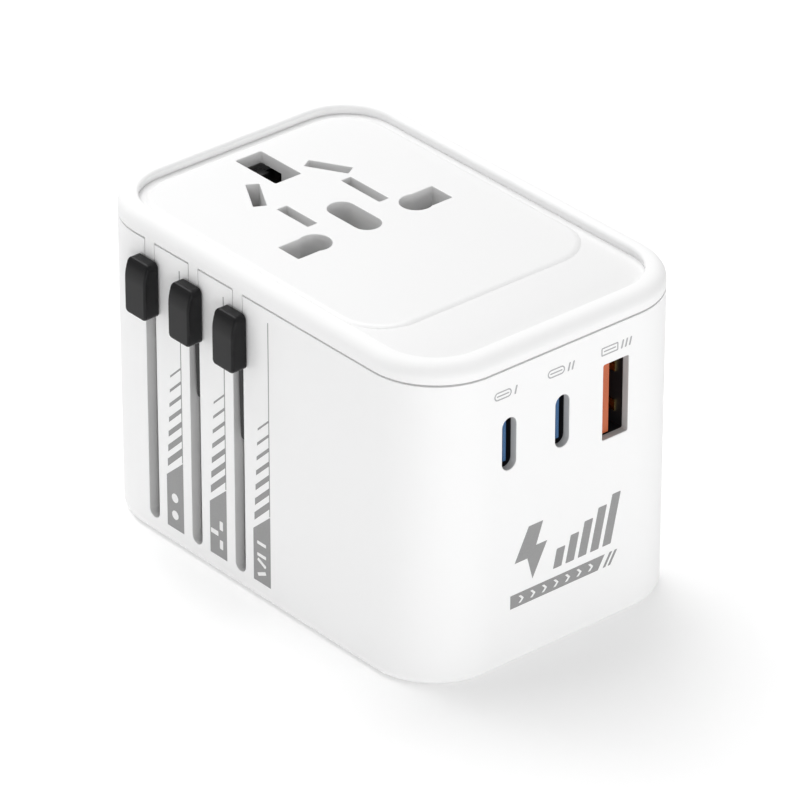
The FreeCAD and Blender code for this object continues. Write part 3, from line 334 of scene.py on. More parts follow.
def bake(piece):
    """Apply the modifiers, so that the piece is a plain mesh."""
    depsgraph = bpy.context.evaluated_depsgraph_get()
    evaluated = piece.evaluated_get(depsgraph)
    data = bpy.data.meshes.new_from_object(evaluated, depsgraph=depsgraph)
    data.name = piece.name
    piece.modifiers.clear()
    piece.data = data
    return piece


def join(name, pieces):
    """One object from several, which are removed."""
    mesh = bmesh.new()
    for piece in pieces:
        mesh.from_mesh(piece.data)
        bpy.data.objects.remove(piece)
    return as_object(name, mesh)


def combine(piece, tools, operation):
    """Cut the tools out of a piece, or add them to it."""
    for tool in tools:
        modifier = piece.modifiers.new("combine", "BOOLEAN")
        modifier.operation = operation
        modifier.solver = "EXACT"
        modifier.object = tool
    bake(piece)
    for tool in tools:
        bpy.data.objects.remove(tool)
    return piece


def smooth(piece, angle=SHARP):
    """Shade smooth below an angle, led by the larger faces."""
    data = piece.data
    data.polygons.foreach_set("use_smooth", [True] * len(data.polygons))
    data.set_sharp_from_angle(angle=angle)
    modifier = piece.modifiers.new("normals", "WEIGHTED_NORMAL")
    modifier.mode = "FACE_AREA"
    modifier.keep_sharp = True
    return bake(piece)


def soften(piece, width, segments=2, angle=math.radians(30)):
    """Round every edge sharper than an angle, then shade smooth."""
    modifier = piece.modifiers.new("edges", "BEVEL")
    modifier.width = width
    modifier.segments = segments
    modifier.angle_limit = angle
    modifier.use_clamp_overlap = True
    bake(piece)
    return smooth(piece)


def merged(node):
    """Bmesh of a CAD node whose loose triangles share their corners."""
    mesh = bmesh.new()
    mesh.from_mesh(frame["nodes"][node].data)
    bmesh.ops.remove_doubles(mesh, verts=mesh.verts, dist=MERGE)
    return mesh


def islands(node):
    """Box of each separate solid in a CAD node."""
    mesh = merged(node)
    left = set(mesh.verts)
    boxes = []
    while left:
        group = [left.pop()]
        for vertex in group:
            for edge in vertex.link_edges:
                other = edge.other_vert(vertex)
                if other in left:
                    left.remove(other)
                    group.append(other)
        low, high = (Vector(pick(v.co[i] for v in group) for i in range(3)) for pick in (min, max))
        boxes.append((low, high))
    mesh.free()
    return sorted(boxes, key=lambda box: tuple(box[0]))


def middle(box):
    """Middle of a box."""
    return (box[0] + box[1]) / 2


# ---- node helpers


def add(tree, kind, inputs=None, **settings):
    """Add a node, set its options, and fill its inputs with values or links."""
    node = tree.nodes.new(kind)
    for name, value in settings.items():
        setattr(node, name, value)
    for name, value in (inputs or {}).items():
        socket = node.inputs[name]
        if isinstance(value, bpy.types.NodeSocket):
            tree.links.new(value, socket)
        else:
            socket.default_value = value
    return node


def result(tree, kind, inputs=None, **settings):
    """First output of a new node."""
    return add(tree, kind, inputs, **settings).outputs[0]


def calc(tree, operation, *values):
    """Result of a sum on numbers."""
    return result(tree, "ShaderNodeMath", dict(enumerate(values)), operation=operation)


def vector(tree, **parts):
    """Vector from its parts."""
    return result(tree, "ShaderNodeCombineXYZ", parts)


def noise(tree, where, detail, **more):
    """Cloudy noise."""
    inputs = {"Vector": where, "Scale": 1.0, "Detail": detail, **more}
    return result(tree, "ShaderNodeTexNoise", inputs)


def ranged(tree, value, low, high, **settings):
    """Value brought from a range to 0 and 1."""
    inputs = {"Value": value, "From Min": low, "From Max": high}
    return result(tree, "ShaderNodeMapRange", inputs, **settings)


def new_group(name, kind, inputs, output_kind, outputs):
    """Node group with named sockets; returns the tree, its inputs and its output sockets."""
    tree = bpy.data.node_groups.new(name, kind)
    for label, default in inputs.items():
        socket_kind = SOCKET_KINDS.get(type(default), f"NodeSocket{label}")
        socket = tree.interface.new_socket(label, in_out="INPUT", socket_type=socket_kind)
        if default is not None:
            socket.default_value = default
    for label in outputs:
        tree.interface.new_socket(label, in_out="OUTPUT", socket_type=output_kind)
    given = tree.nodes.new("NodeGroupInput").outputs
    return tree, given, tree.nodes.new("NodeGroupOutput").inputs


def value_group(name, inputs, *outputs):
    """Shader node group that gives out numbers."""
    return new_group(name, "ShaderNodeTree", inputs, "NodeSocketFloat", outputs)


def place(tree, size):
    """Object coordinates divided by a size, so that a pattern keeps its real scale."""
    where = add(tree, "ShaderNodeTexCoord").outputs["Object"]
    inverse = calc(tree, "DIVIDE", 1.0, size)
    return result(tree, "ShaderNodeVectorMath", {0: where, "Scale": inverse}, operation="SCALE")


def give(tree, out, **values):
    """Link values to the named outputs of a group."""
    for label, value in values.items():
        tree.links.new(value, out[label])


def grain_group():
    """Fine texture of a moulded surface."""
    tree, given, out = value_group("moulded_grain", {"Size": 0.2 * MM}, "Height", "Mask")
    where = place(tree, given["Size"])
    inputs = {"Vector": where, "Scale": 0.8}
    cells = result(tree, "ShaderNodeTexVoronoi", inputs, feature="SMOOTH_F1")
    height = calc(tree, "MULTIPLY", calc(tree, "ADD", noise(tree, where, 3.0), cells), 0.5)
    give(tree, out, Height=height, Mask=ranged(tree, height, 0.35, 0.65))
    return tree


def handling_group():
    """Slow uneven change over a surface, from moulding flow and handling."""
    inputs = {"Size": 9 * MM, "Low": 0.3, "High": 0.4}
    tree, given, out = value_group("handling", inputs, "Value", "Mask")
    cloud = noise(tree, place(tree, given["Size"]), 5.0, Roughness=0.6, Distortion=0.4)
    mask = ranged(tree, cloud, 0.3, 0.7, interpolation_type="SMOOTHSTEP")
    ends = {"Value": mask, "To Min": given["Low"], "To Max": given["High"]}
    give(tree, out, Mask=mask, Value=result(tree, "ShaderNodeMapRange", ends))
    return tree


def wear_and_highlight_group():
    """Edges that touch things, broken up by a noise; in the knob finish the same mask carries a
    painted highlight.
    """
    inputs = {"Radius": 0.3 * MM, "Amount": 0.5, "Size": 1.5 * MM}
    tree, given, out = value_group("edge_wear", inputs, "Mask")
    soft = result(tree, "ShaderNodeBevel", {"Radius": given["Radius"]}, samples=4)
    true = add(tree, "ShaderNodeNewGeometry").outputs["Normal"]
    same = add(tree, "ShaderNodeVectorMath", {0: soft, 1: true}, operation="DOT_PRODUCT")
    edge = ranged(tree, same.outputs["Value"], 0.995, 0.9)
    patches = ranged(tree, noise(tree, place(tree, given["Size"]), 4.0), 0.4, 0.62)
    broken = calc(tree, "MULTIPLY", edge, patches)
    give(tree, out, Mask=calc(tree, "MULTIPLY", broken, given["Amount"]))
    return tree


def drawn_group():
    """Fine lines along the upright direction of a drawn or ground metal."""
    inputs = {"Size": 0.08 * MM, "Stretch": 0.03}
    tree, given, out = value_group("drawn_lines", inputs, "Height", "Mask")
    ends = {0: place(tree, given["Size"]), 1: vector(tree, X=1.0, Y=1.0, Z=given["Stretch"])}
    lines = result(tree, "ShaderNodeVectorMath", ends, operation="MULTIPLY")
    source = noise(tree, lines, 3.0)
    give(tree, out, Height=source, Mask=ranged(tree, source, 0.35, 0.65))
    return tree


GROUP_MAKERS = {
    "moulded_grain": grain_group,
    "handling": handling_group,
    "edge_wear": wear_and_highlight_group,
    "drawn_lines": drawn_group,
}


def use(tree, name, values):
    """Outputs of a shared effect, placed in a material with its own values."""
    group = bpy.data.node_groups.get(name) or GROUP_MAKERS[name]()
    return add(tree, "ShaderNodeGroup", values, node_tree=group).outputs


# ---- materials


def principled(name, uniform):
    """Material with its shader; uniform holds the sockets that are the same all over."""
    material = bpy.data.materials.new(name)
    material.use_nodes = True
    tree = material.node_tree
    shader = tree.nodes["Principled BSDF"].inputs
    for label, value in uniform.items():
        shader[label].default_value = value
    return tree, shader


def shade(base, factor):
    """A colour made lighter or darker."""
    return tuple(min(1.0, channel * factor) for channel in base) + (1.0,)


def blend(tree, mask, first, second):
    """Colour that moves from the first to the second by a mask."""
    mix = add(tree, "ShaderNodeMix", {"Factor": mask, 7: second}, data_type="RGBA")
    if isinstance(first, tuple):
        mix.inputs[6].default_value = first
    else:
        tree.links.new(first, mix.inputs[6])
    return mix.outputs[2]


def surface(tree, shader, tone, roughness, height, depth):
    """Link a shader's colour, roughness and relief of a real depth."""
    bump = {"Height": height, "Distance": depth * MM, "Strength": 1.0}
    tree.links.new(tone, shader["Base Color"])
    tree.links.new(roughness, shader["Roughness"])
    tree.links.new(result(tree, "ShaderNodeBump", bump), shader["Normal"])


def textured(name, base, gloss, texture, depth, worn_and_lit, look):
    """Finish with uneven gloss, a fine texture and lighter edges: rubbed edges, and in the knob
    finish a painted highlight.
    """
    uniform, patch, edge, wear = look
    tree, shader = principled(name, uniform)
    flow = use(tree, "handling", {"Size": patch * MM, "Low": gloss[0], "High": gloss[1]})
    edges = use(tree, "edge_wear", {"Radius": edge * MM, "Amount": wear})
    lines = use(tree, texture[0], {"Size": texture[1] * MM})
    tone = blend(tree, flow["Mask"], shade(base, 1.0), shade(base, worn_and_lit[0]))
    # edges made lighter by the edge mask: rubbed edges, and in the knob finish a painted highlight
    tone = blend(tree, edges["Mask"], tone, shade(base, worn_and_lit[1]))
    surface(tree, shader, tone, flow["Value"], lines["Height"], depth)


def moulded(name, base, low, high, size, depth, change=0.96, worn_and_lit=1.08, wear=0.35, gloss=None):
    """Moulded plastic: fine grain, uneven gloss and lighter edges, which are rubbed edges, and in
    the knob finish a painted highlight.
    """
    look = ({"IOR": 1.5, **(gloss or {})}, 11, 0.25, wear)
    textured(name, base, (low, high), ("moulded_grain", size), depth, (change, worn_and_lit), look)


def metal(name, base, low, high, size, depth):
    """Plated or drawn metal: fine lines, dull patches and brighter edges."""
    look = ({"Metallic": 1.0}, 4, 0.15, 0.5)
    textured(name, base, (low, high), ("drawn_lines", size), depth, (0.9, 1.12), look)


def printed(name, base):
    """Screen-printed ink: slightly uneven cover with a fine mesh texture."""
    tree, shader = principled(name, {"IOR": 1.45})
    cover = use(tree, "moulded_grain", {"Size": 0.12 * MM})
    flow = use(tree, "handling", {"Size": 3 * MM, "Low": 0.42, "High": 0.55})
    tone = blend(tree, cover["Mask"], shade(base, 0.97), shade(base, 1.04))
    surface(tree, shader, tone, flow["Value"], cover["Height"], 0.003)


def board(name, base):
    """Green solder mask with buried traces and tinned pads."""
    tree, shader = principled(name, {"IOR": 1.5, "Coat Weight": 0.4})
    traces = {"Vector": place(tree, 1 * MM), "Scale": 0.45, "Mortar Size": 0.09}
    greys = {"Color1": 0.0, "Color2": 0.25, "Mortar": 1.0}
    traces.update({label: (grey, grey, grey, 1.0) for label, grey in greys.items()})
    mask = result(tree, "ShaderNodeTexBrick", traces)
    flow = use(tree, "handling", {"Size": 6 * MM, "Low": 0.25, "High": 0.4})
    tone = blend(tree, mask, shade(base, 1.0), shade(base, 2.2))
    surface(tree, shader, tone, flow["Value"], mask, 0.02)


def tape(name, base):
    """Glossy tape wound over copper wire."""
    tree, shader = principled(name, {"IOR": 1.5, "Coat Weight": 0.3})
    wave = {"Vector": place(tree, 1 * MM), "Scale": 0.7, "Distortion": 0.6, "Detail": 2.0}
    bands = add(tree, "ShaderNodeTexWave", wave, bands_direction="Z").outputs["Fac"]
    flow = use(tree, "handling", {"Size": 5 * MM, "Low": 0.2, "High": 0.35})
    tone = blend(tree, bands, shade(base, 1.0), (0.86, 0.58, 0.08, 1.0))
    surface(tree, shader, tone, flow["Value"], bands, 0.05)


KNOB_GLOSS = {"Specular IOR Level": 0.12, "Coat Weight": 0.17, "Coat Roughness": 0.14}

# Each finish: its maker, its colour or the property that holds it, then for plastics and metals
# the roughness from and to, and the texture's size and depth in millimetres.  Some plastics add
# how many times as bright as the base their patches and lighter edges are, and how strongly the
# edges show.  The lighter edges are rubbed edges, except in the knob finish, where they are a
# painted highlight.
FINISHES = {
    "white_shell": (moulded, "white", 0.38, 0.47, 0.22, 0.006, 0.985, 1.03),
    "white_plate": (moulded, "gloss", 0.29, 0.32, 0.35, 0.003, 0.997, 1.01),
    "inner_plastic": (moulded, "inner", 0.42, 0.55, 0.25, 0.006),
    # painted shade: grey for the white shell's walls inside the slots and ports
    "opening_grey": (moulded, (0.64, 0.64, 0.64), 0.45, 0.55, 0.2, 0.004),
    # knob finish: edges 14 times as bright as the black base, a painted highlight along the bevels
    # of the knobs and lock arms
    "knob_black": (moulded, "black", 0.3, 0.38, 0.16, 0.005, 1.25, 14.0, 0.8, KNOB_GLOSS),
    "shutter_black": (moulded, "black", 0.4, 0.5, 0.2, 0.005, 1.2, 2.5),
    "sleeve_black": (moulded, "black", 0.3, 0.42, 0.12, 0.004, 1.2, 2.5),
    # painted shade: near-black for the inner faces of the steel port shells
    "liner_black": (moulded, (0.01, 0.01, 0.012), 0.4, 0.5, 0.2, 0.004),
    "tongue_blue": (moulded, "blue", 0.3, 0.4, 0.15, 0.004),
    "tongue_orange": (moulded, "orange", 0.3, 0.4, 0.15, 0.004),
    "ferrite": (moulded, (0.035, 0.035, 0.038), 0.55, 0.7, 0.12, 0.012, 1.3, 1.8),
    "chip_black": (moulded, (0.015, 0.015, 0.016), 0.45, 0.6, 0.1, 0.006, 1.2, 1.6),
    "fuse_ceramic": (moulded, (0.80, 0.77, 0.68), 0.2, 0.35, 0.3, 0.004),
    "nickel_pin": (metal, "nickel", 0.16, 0.28, 0.06, 0.002),
    "port_steel": (metal, "steel", 0.22, 0.36, 0.07, 0.002),
    "spring_steel": (metal, "steel", 0.2, 0.3, 0.04, 0.002),
    "contact_brass": (metal, "brass", 0.22, 0.38, 0.06, 0.003),
    "contact_gold": (metal, (0.95, 0.70, 0.27), 0.15, 0.25, 0.05, 0.001),
    "can_aluminium": (metal, (0.75, 0.75, 0.77), 0.25, 0.4, 0.09, 0.004),
    "print_grey": (printed, "ink"),
    "print_pale": (printed, "pale_ink"),
    "print_white": (printed, (0.88, 0.88, 0.88)),
    "board_green": (board, "board"),
    "winding_tape": (tape, (0.70, 0.42, 0.03)),
}


def finish(name):
    """A finish by name, built once."""
    if name not in bpy.data.materials:
        maker, base, *numbers = FINISHES[name]
        if isinstance(base, str):
            base = tuple(getattr(bpy.context.scene.adapter_colours, base))
        maker(name, base, *numbers)
    return bpy.data.materials[name]


# ---- pieces and CAD nodes


def belongs(piece, material, node):
    """Paint an added piece that goes with a CAD node."""
    piece.data.materials.clear()
    piece.data.materials.append(finish(material))
    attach(piece, frame["nodes"][node]["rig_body"])
    return piece


def stand_in(piece, material, node):
    """Paint a piece and put it in the place of a CAD node."""
    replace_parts(belongs(piece, material, node), node)


def carry_over(*rows):
    """Copies of CAD nodes with merged faces and rounded edges.

    A row holds a node, its finish and the width of its rounded edges in millimetres.
    """
    for node, material, width in rows:
        mesh = merged(node)
        bmesh.ops.dissolve_limit(mesh, angle_limit=FLAT, verts=mesh.verts, edges=mesh.edges)
        stand_in(soften(as_object(f"{node}_skin", mesh), width * MM), material, node)


# ---- geometry trees


def geometry_tree(name, **inputs):
    """Geometry tree with named sizes and a material, its inputs and a way to finish it."""
    named = {label.replace("_", " "): default for label, default in inputs.items()}
    named["Material"] = None
    kind = "NodeSocketGeometry"
    tree, given, out = new_group(name, "GeometryNodeTree", named, kind, ["Geometry"])
    tree.is_modifier = True

    def end(points, piece):
        """Copy the piece to the points, realize the copies and give them their material."""
        copies = repeated(tree, points, piece)
        solid = result(tree, "GeometryNodeRealizeInstances", {"Geometry": copies})
        coat = {"Geometry": solid, "Material": given["Material"]}
        tree.links.new(result(tree, "GeometryNodeSetMaterial", coat), out["Geometry"])
        return tree

    return tree, given, end


def repeated(tree, points, piece, **more):
    """Copies of a piece, one at each point."""
    inputs = {"Points": points, "Instance": piece, **more}
    return result(tree, "GeometryNodeInstanceOnPoints", inputs)


def row_of_points(tree, count, start, step):
    """Points in a straight row."""
    inputs = {"Count": count, "Start Location": start, "Offset": step}
    return result(tree, "GeometryNodeMeshLine", inputs)


def moved(tree, geometry, **change):
    """Geometry moved and turned."""
    return result(tree, "GeometryNodeTransform", {"Geometry": geometry, **change})


def cube(tree, size):
    """Rectangular block about the origin."""
    return result(tree, "GeometryNodeMeshCube", {"Size": size})


def from_tree(name, tree, values, points=()):
    """Plain mesh that a geometry tree makes from its inputs."""
    data = bpy.data.meshes.new(name)
    data.from_pydata([tuple(point) for point in points], [], [])
    piece = linked(name, data)
    modifier = piece.modifiers.new("tree", "NODES")
    modifier.node_group = tree
    for item in tree.interface.items_tree:
        if item.item_type == "SOCKET" and item.in_out == "INPUT" and item.name in values:
            modifier[item.identifier] = values[item.name]
    bake(piece)
    piece.data.name = name
    return piece


def stripe_tree():
    """Slanted stripes that grow thicker downwards, repeated beside each slot."""
    tree, given, end = geometry_tree(
        "slider_stripes",
        Stripes=7,
        Pitch=2.24 * MM,
        Groups=3,
        Group_Pitch=10 * MM,
        Start=(0, 0, 0),
        Width=2.45 * MM,
        Width_Growth=0.95 * MM,
        Thickness=0.36 * MM,
        Thickness_Growth=0.9 * MM,
        Depth=0.05 * MM,
        Slope=0.96,
    )
    down = vector(tree, Z=calc(tree, "MULTIPLY", given["Pitch"], -1.0))
    line = row_of_points(tree, given["Stripes"], (0, 0, 0), down)
    last = calc(tree, "SUBTRACT", given["Stripes"], 1.0)
    share = calc(tree, "DIVIDE", result(tree, "GeometryNodeInputIndex"), last)
    wide, thick = (
        calc(tree, "MULTIPLY_ADD", share, given[f"{label} Growth"], given[label])
        for label in ("Width", "Thickness")
    )
    corner = moved(tree, cube(tree, (1, 1, 1)), Translation=(0, 0.5, -0.5))
    bars = repeated(tree, line, corner, Scale=vector(tree, X=given["Depth"], Y=wide, Z=thick))
    solid = result(tree, "GeometryNodeRealizeInstances", {"Geometry": bars})
    spot = {0: result(tree, "GeometryNodeInputPosition")}
    across = add(tree, "ShaderNodeSeparateXYZ", spot).outputs["Y"]
    drop = calc(tree, "MULTIPLY", calc(tree, "MULTIPLY", across, given["Slope"]), -1.0)
    lean = {"Geometry": solid, "Offset": vector(tree, Z=drop)}
    slanted = result(tree, "GeometryNodeSetPosition", lean)
    apart = vector(tree, Y=given["Group Pitch"])
    return end(row_of_points(tree, given["Groups"], given["Start"], apart), slanted)


def row_tree():
    """Row of equal small blocks, such as the contacts of a port."""
    size = (1 * MM, 1 * MM, 1 * MM)
    tree, given, end = geometry_tree(
        "row_of_blocks", Count=4, Start=(0, 0, 0), Step=(0, 0, 0), Block=size
    )
    line = row_of_points(tree, given["Count"], given["Start"], given["Step"])
    return end(line, cube(tree, given["Block"]))


def coil_tree():
    """Wire coils that start at each point and run along +Y."""
    tree, given, end = geometry_tree(
        "wire_coils",
        Geometry=None,
        Turns=7.0,
        Radius=0.9 * MM,
        Length=7 * MM,
        Wire=0.2 * MM,
        Turn=(-math.pi / 2, 0, 0),
    )
    bends = {"Resolution": 20, "Rotations": given["Turns"], "Height": given["Length"]}
    bends.update({f"{end_name} Radius": given["Radius"] for end_name in ("Start", "End")})
    spiral = result(tree, "GeometryNodeCurveSpiral", bends)
    round_wire = {"Resolution": 8, "Radius": given["Wire"]}
    section = result(tree, "GeometryNodeCurvePrimitiveCircle", round_wire)
    swept = {"Curve": spiral, "Profile Curve": section, "Fill Caps": True}
    wire = result(tree, "GeometryNodeCurveToMesh", swept)
    starts = result(tree, "GeometryNodeMeshToPoints", {"Mesh": given["Geometry"]})
    return end(starts, moved(tree, wire, Rotation=given["Turn"]))


def screw_tree():
    """Screws with a cross recess, head up, one at each point."""
    tree, given, end = geometry_tree(
        "cross_screws",
        Geometry=None,
        Head_Radius=1.8 * MM,
        Head_Height=1.2 * MM,
        Radius=1.0 * MM,
        Length=7 * MM,
        Recess=(2.0 * MM, 0.4 * MM, 1.2 * MM),
    )

    def cylinder(vertices, radius, depth, share):
        """Upright cylinder, moved up by a share of its height."""
        inputs = {"Vertices": vertices, "Radius": given[radius], "Depth": given[depth]}
        solid = result(tree, "GeometryNodeMeshCylinder", inputs)
        lift = vector(tree, Z=calc(tree, "MULTIPLY", given[depth], share))
        return moved(tree, solid, Translation=lift)

    head = cylinder(40, "Head Radius", "Head Height", 0.5)
    shank = cylinder(24, "Radius", "Length", -0.5)
    top = vector(tree, Z=given["Head Height"])
    settings = {"operation": "DIFFERENCE", "solver": "EXACT"}
    recessed = add(tree, "GeometryNodeMeshBoolean", {"Mesh 1": head}, **settings)
    blade = cube(tree, given["Recess"])
    for turn in (0.0, math.pi / 2):
        cut = moved(tree, blade, Translation=top, Rotation=(0, 0, turn))
        tree.links.new(cut, recessed.inputs["Mesh 2"])
    screw = add(tree, "GeometryNodeJoinGeometry")
    for solid in (recessed.outputs[0], shank):
        tree.links.new(solid, screw.inputs[0])
    points = result(tree, "GeometryNodeMeshToPoints", {"Mesh": given["Geometry"]})
    return end(points, screw.outputs[0])


# ---- housing


def shell_outline():
    """Outer outline of the housing, inset by the room for printed marks."""
    size = sizes()
    low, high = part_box("main_shell")
    ink = size.ink
    corner = size.corner - ink
    return rounded(low.x + ink, high.x - ink, low.y + ink, high.y - ink, corner)


def port_places():
    """Each port's node label, middle, width, height and corner radius."""
    size = sizes()
    small = (size.c_width, size.c_height, size.c_width / 2)
    large = (size.a_width, size.a_height, 0.3 * MM)
    ports = (("usb_c1", small), ("usb_c2", small), ("usb_a", large))
    return [(label, middle(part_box(f"{label}_shell")).x, *shape) for label, shape in ports]


class ADAPTER_OT_shell(bpy.types.Operator):
    """Main shell with its slider slots, ports, floor window and pillars"""

    bl_idname = "adapter.shell"
    bl_label = "Main shell"

    def execute(self, context):
        size = sizes()
        low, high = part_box("main_shell")
        seam = high.z
        land = seam - size.seam_gap
        edge = 0.08 * MM
        shell = self.body(low, high, land, edge)
        self.pillars_and_openings(shell, low, seam)
        self.window(shell, low)
        smooth(shell)
        stand_in(shell, "white_shell", "main_shell")
        # painted shade on the walls inside the slots and ports
        self.paint_shade_on_walls(shell, low, land - edge)
        return {"FINISHED"}

    def body(self, low, high, land, edge):
        """Hollow body, open at the top, with a groove under the rim."""
        size = sizes()
        wall = size.wall - size.ink
        foot = 0.8 * MM
        profile = convex_round(size.bottom_round, low.z, 1, 10)
        profile += convex_round(edge, land, -1)[::-1]
        profile += [(-size.seam_depth, land), (-size.seam_depth, high.z), (-wall, high.z)]
        profile.append((-wall, size.floor + foot))
        for growth, z in convex_round(foot, size.floor, 1)[::-1][1:]:
            profile.append((-wall + growth, z))
        return stack("main_shell_skin", shell_outline(), "z", profile)

    def pillars_and_openings(self, shell, low, seam):
        """Screw pillars, and the slots, ports and screw holes cut out of the walls."""
        size = sizes()
        pillar_radius, bore_radius, bore_depth = mm(2, 1, 7)
        port_slack, seat_slack, past_slot, above = mm(0.2, 0.9, 0.4, 4)
        pillar_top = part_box("socket_base")[0].z
        screws = [middle(box) for box in islands("base_screws")]
        pillars = []
        for x, y, _ in screws:
            outline = circle(x, y, pillar_radius)
            pillars.append(block("pillar", outline, "z", size.floor / 2, pillar_top))
        combine(shell, [join("pillars", pillars)], "UNION")

        slots = []
        half = size.slot_width / 2
        for name in SLIDERS:
            y = slot_y(name)
            outline = rounded(y - half, y + half, size.slot_bottom, seam + above, half, 12)
            depth = size.wall + past_slot
            slots.append(opening(outline, "x", low.x + size.ink, depth, size.lip, 1))
        cutters = []
        seat_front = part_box("usb_a_shell")[0].y
        for _, x, width, height, radius in port_places():
            outline = centred(x, size.ports_height, width, height, radius)
            depth = size.wall + port_slack
            cutters.append(opening(outline, "y", low.y + size.ink, depth, size.lip, 1))
            wide, tall = width + seat_slack, height + seat_slack
            seat = centred(x, size.ports_height, wide, tall, 0.3 * MM)
            cutters.append(block("seat", seat, "y", seat_front, low.y + size.wall + past_slot))
        for x, y, _ in screws:
            bore = circle(x, y, bore_radius, 24)
            cutters.append(block("bore", bore, "z", pillar_top - bore_depth, seam))
        combine(shell, [join("cutters", slots)], "DIFFERENCE")
        combine(shell, cutters, "DIFFERENCE")

    def window(self, shell, low):
        """Stepped window in the floor, where the plug plate sits."""
        size = sizes()
        gap, ledge, corner, lip = mm(0.1, 0.8, 0.5, 0.12)
        plate_low, plate_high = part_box("plug_plate")
        left, right = plate_low.x - gap, plate_high.x + gap
        front, back = plate_low.y - gap, plate_high.y + gap
        outer = rounded(left, right, front, back, corner, 6)
        inner = rounded(left + ledge, right - ledge, front + ledge, back - ledge, corner, 6)
        cutters = [
            opening(outer, "z", low.z, size.floor / 2, lip, 1),
            block("inner", inner, "z", low.z, size.floor + MM),
        ]
        combine(shell, cutters, "DIFFERENCE")

    def paint_shade_on_walls(self, shell, low, top):
        """Paint the walls of the slots and the ports grey, as painted shade inside the openings.
        """
        size = sizes()
        slack = 0.05 * MM
        upright = 0.5
        wall = size.wall - size.ink
        half = size.slot_width / 2 + slack
        shell.data.materials.append(finish("opening_grey"))
        for polygon in shell.data.polygons:
            x, y, z = polygon.center
            beside = min(abs(y - slot_y(name)) for name in SLIDERS) < half
            left = x < low.x + wall and abs(polygon.normal.x) < upright and beside
            deep = y < low.y + wall and abs(polygon.normal.y) < upright
            facing = low.z + size.bottom_round < z < top
            in_port = any(
                abs(x - port_x) < width / 2 + slack
                and abs(z - size.ports_height) < height / 2 + slack
                for _, port_x, width, height, _ in port_places()
            )
            polygon.material_index = int(facing and (left or (deep and in_port)))


class ADAPTER_OT_top_frame(bpy.types.Operator):
    """Rim that closes the shell, with a tongue in each slot"""

    bl_idname = "adapter.top_frame"
    bl_label = "Top frame"

    def execute(self, context):
        size = sizes()
        low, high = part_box("top_frame")
        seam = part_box("main_shell")[1].z
        land = seam + size.seam_gap
        edge, clear, skirt_in, skirt_gap, skirt_height = mm(0.08, 0.01, 3.8, 0.1, 1.8)
        skirt_out = size.wall + skirt_gap
        skirt_low = seam - skirt_height
        profile = convex_round(edge, land, 1)
        profile += convex_round(size.rim_round, high.z, -1, 14)[::-1]
        for growth, z in convex_round(size.rim_inner, high.z, -1, 8):
            profile.append((-size.rim_width - growth - size.rim_inner, z))
        profile += [
            (-size.rim_width, seam + clear),
            (-skirt_in, seam + clear),
            (-skirt_in, skirt_low),
            (-skirt_out, skirt_low),
            (-skirt_out, seam + clear),
            (-size.seam_depth, seam + clear),
            (-size.seam_depth, land),
        ]
        rim = stack("top_frame_skin", shell_outline(), "z", profile, looped=True)
        face = low.x + size.ink
        tongue_gap, overlap, corner, edge, proud = mm(0.15, 1.2, 0.12, 0.1, 0.002)
        half = size.slot_width / 2 - tongue_gap
        tongues = []
        for name in SLIDERS:
            y = slot_y(name)
            outline = rounded(y - half, y + half, low.z, seam + overlap, corner, 4)
            tongues.append(block("tongue", outline, "x", face - proud, face + size.wall, edge))
        combine(rim, [join("tongues", tongues)], "UNION")
        smooth(rim)
        stand_in(rim, "white_shell", "top_frame")
        return {"FINISHED"}


def round_and_flat(x, y, radius, reach, height, side):
    """Outline of a round hole with a flat-ended arm on one side."""
    half = height / 2
    bend = math.degrees(math.asin(half / radius))
    corner = 0.2 * MM
    points = arc(x, y, radius, bend, 2 * HALF_TURN - 2 * bend, 36)
    end = reach - corner
    points += arc(end, y - half + corner, corner, -QUARTER, QUARTER, 4)
    points += arc(end, y + half - corner, corner, 0, QUARTER, 4)
    if side < 0:
        points = [(2 * x - u, v) for u, v in points][::-1]
    return tidy(points)


def socket_openings():
    """Outline of each opening in the socket plate."""
    x = sizes().socket_x
    hole_out, hole_y, hole_radius, arm_reach, arm_height = mm(9.5, 4.8, 2.5, 4.95, 4.55)
    flat_out, flat_y, flat_width, flat_short, flat_long = mm(6.38, 12.6, 1.8, 6.95, 8.6)
    slant_out, slant_y, slant_width, slant_long = mm(6.82, 21.4, 2.0, 6.85)
    slant_turn = 30
    flat_corner, earth_corner = mm(0.15, 0.25)
    centre_half, centre_low, centre_high = mm(2.15, 2.4, 12.35)
    earth_y, earth_width, earth_height = mm(26.95, 4.85, 9.25)
    outlines = []
    for side in SIDES:
        hole_x = x + side * hole_out
        reach = hole_x + arm_reach
        outlines.append(round_and_flat(hole_x, hole_y, hole_radius, reach, arm_height, side))
        tall = flat_short if side < 0 else flat_long
        outlines.append(centred(x + side * flat_out, flat_y, flat_width, tall, flat_corner, 3))
        slant_x = x + side * slant_out
        blade = centred(slant_x, slant_y, slant_width, slant_long, flat_corner, 3)
        outlines.append(turned(blade, side * slant_turn, slant_x, slant_y))
    sides = (x - centre_half, x + centre_half)
    outlines.append(rounded(*sides, centre_low, centre_high, centre_half, 14))
    outlines.append(centred(x, earth_y, earth_width, earth_height, earth_corner, 4))
    return outlines


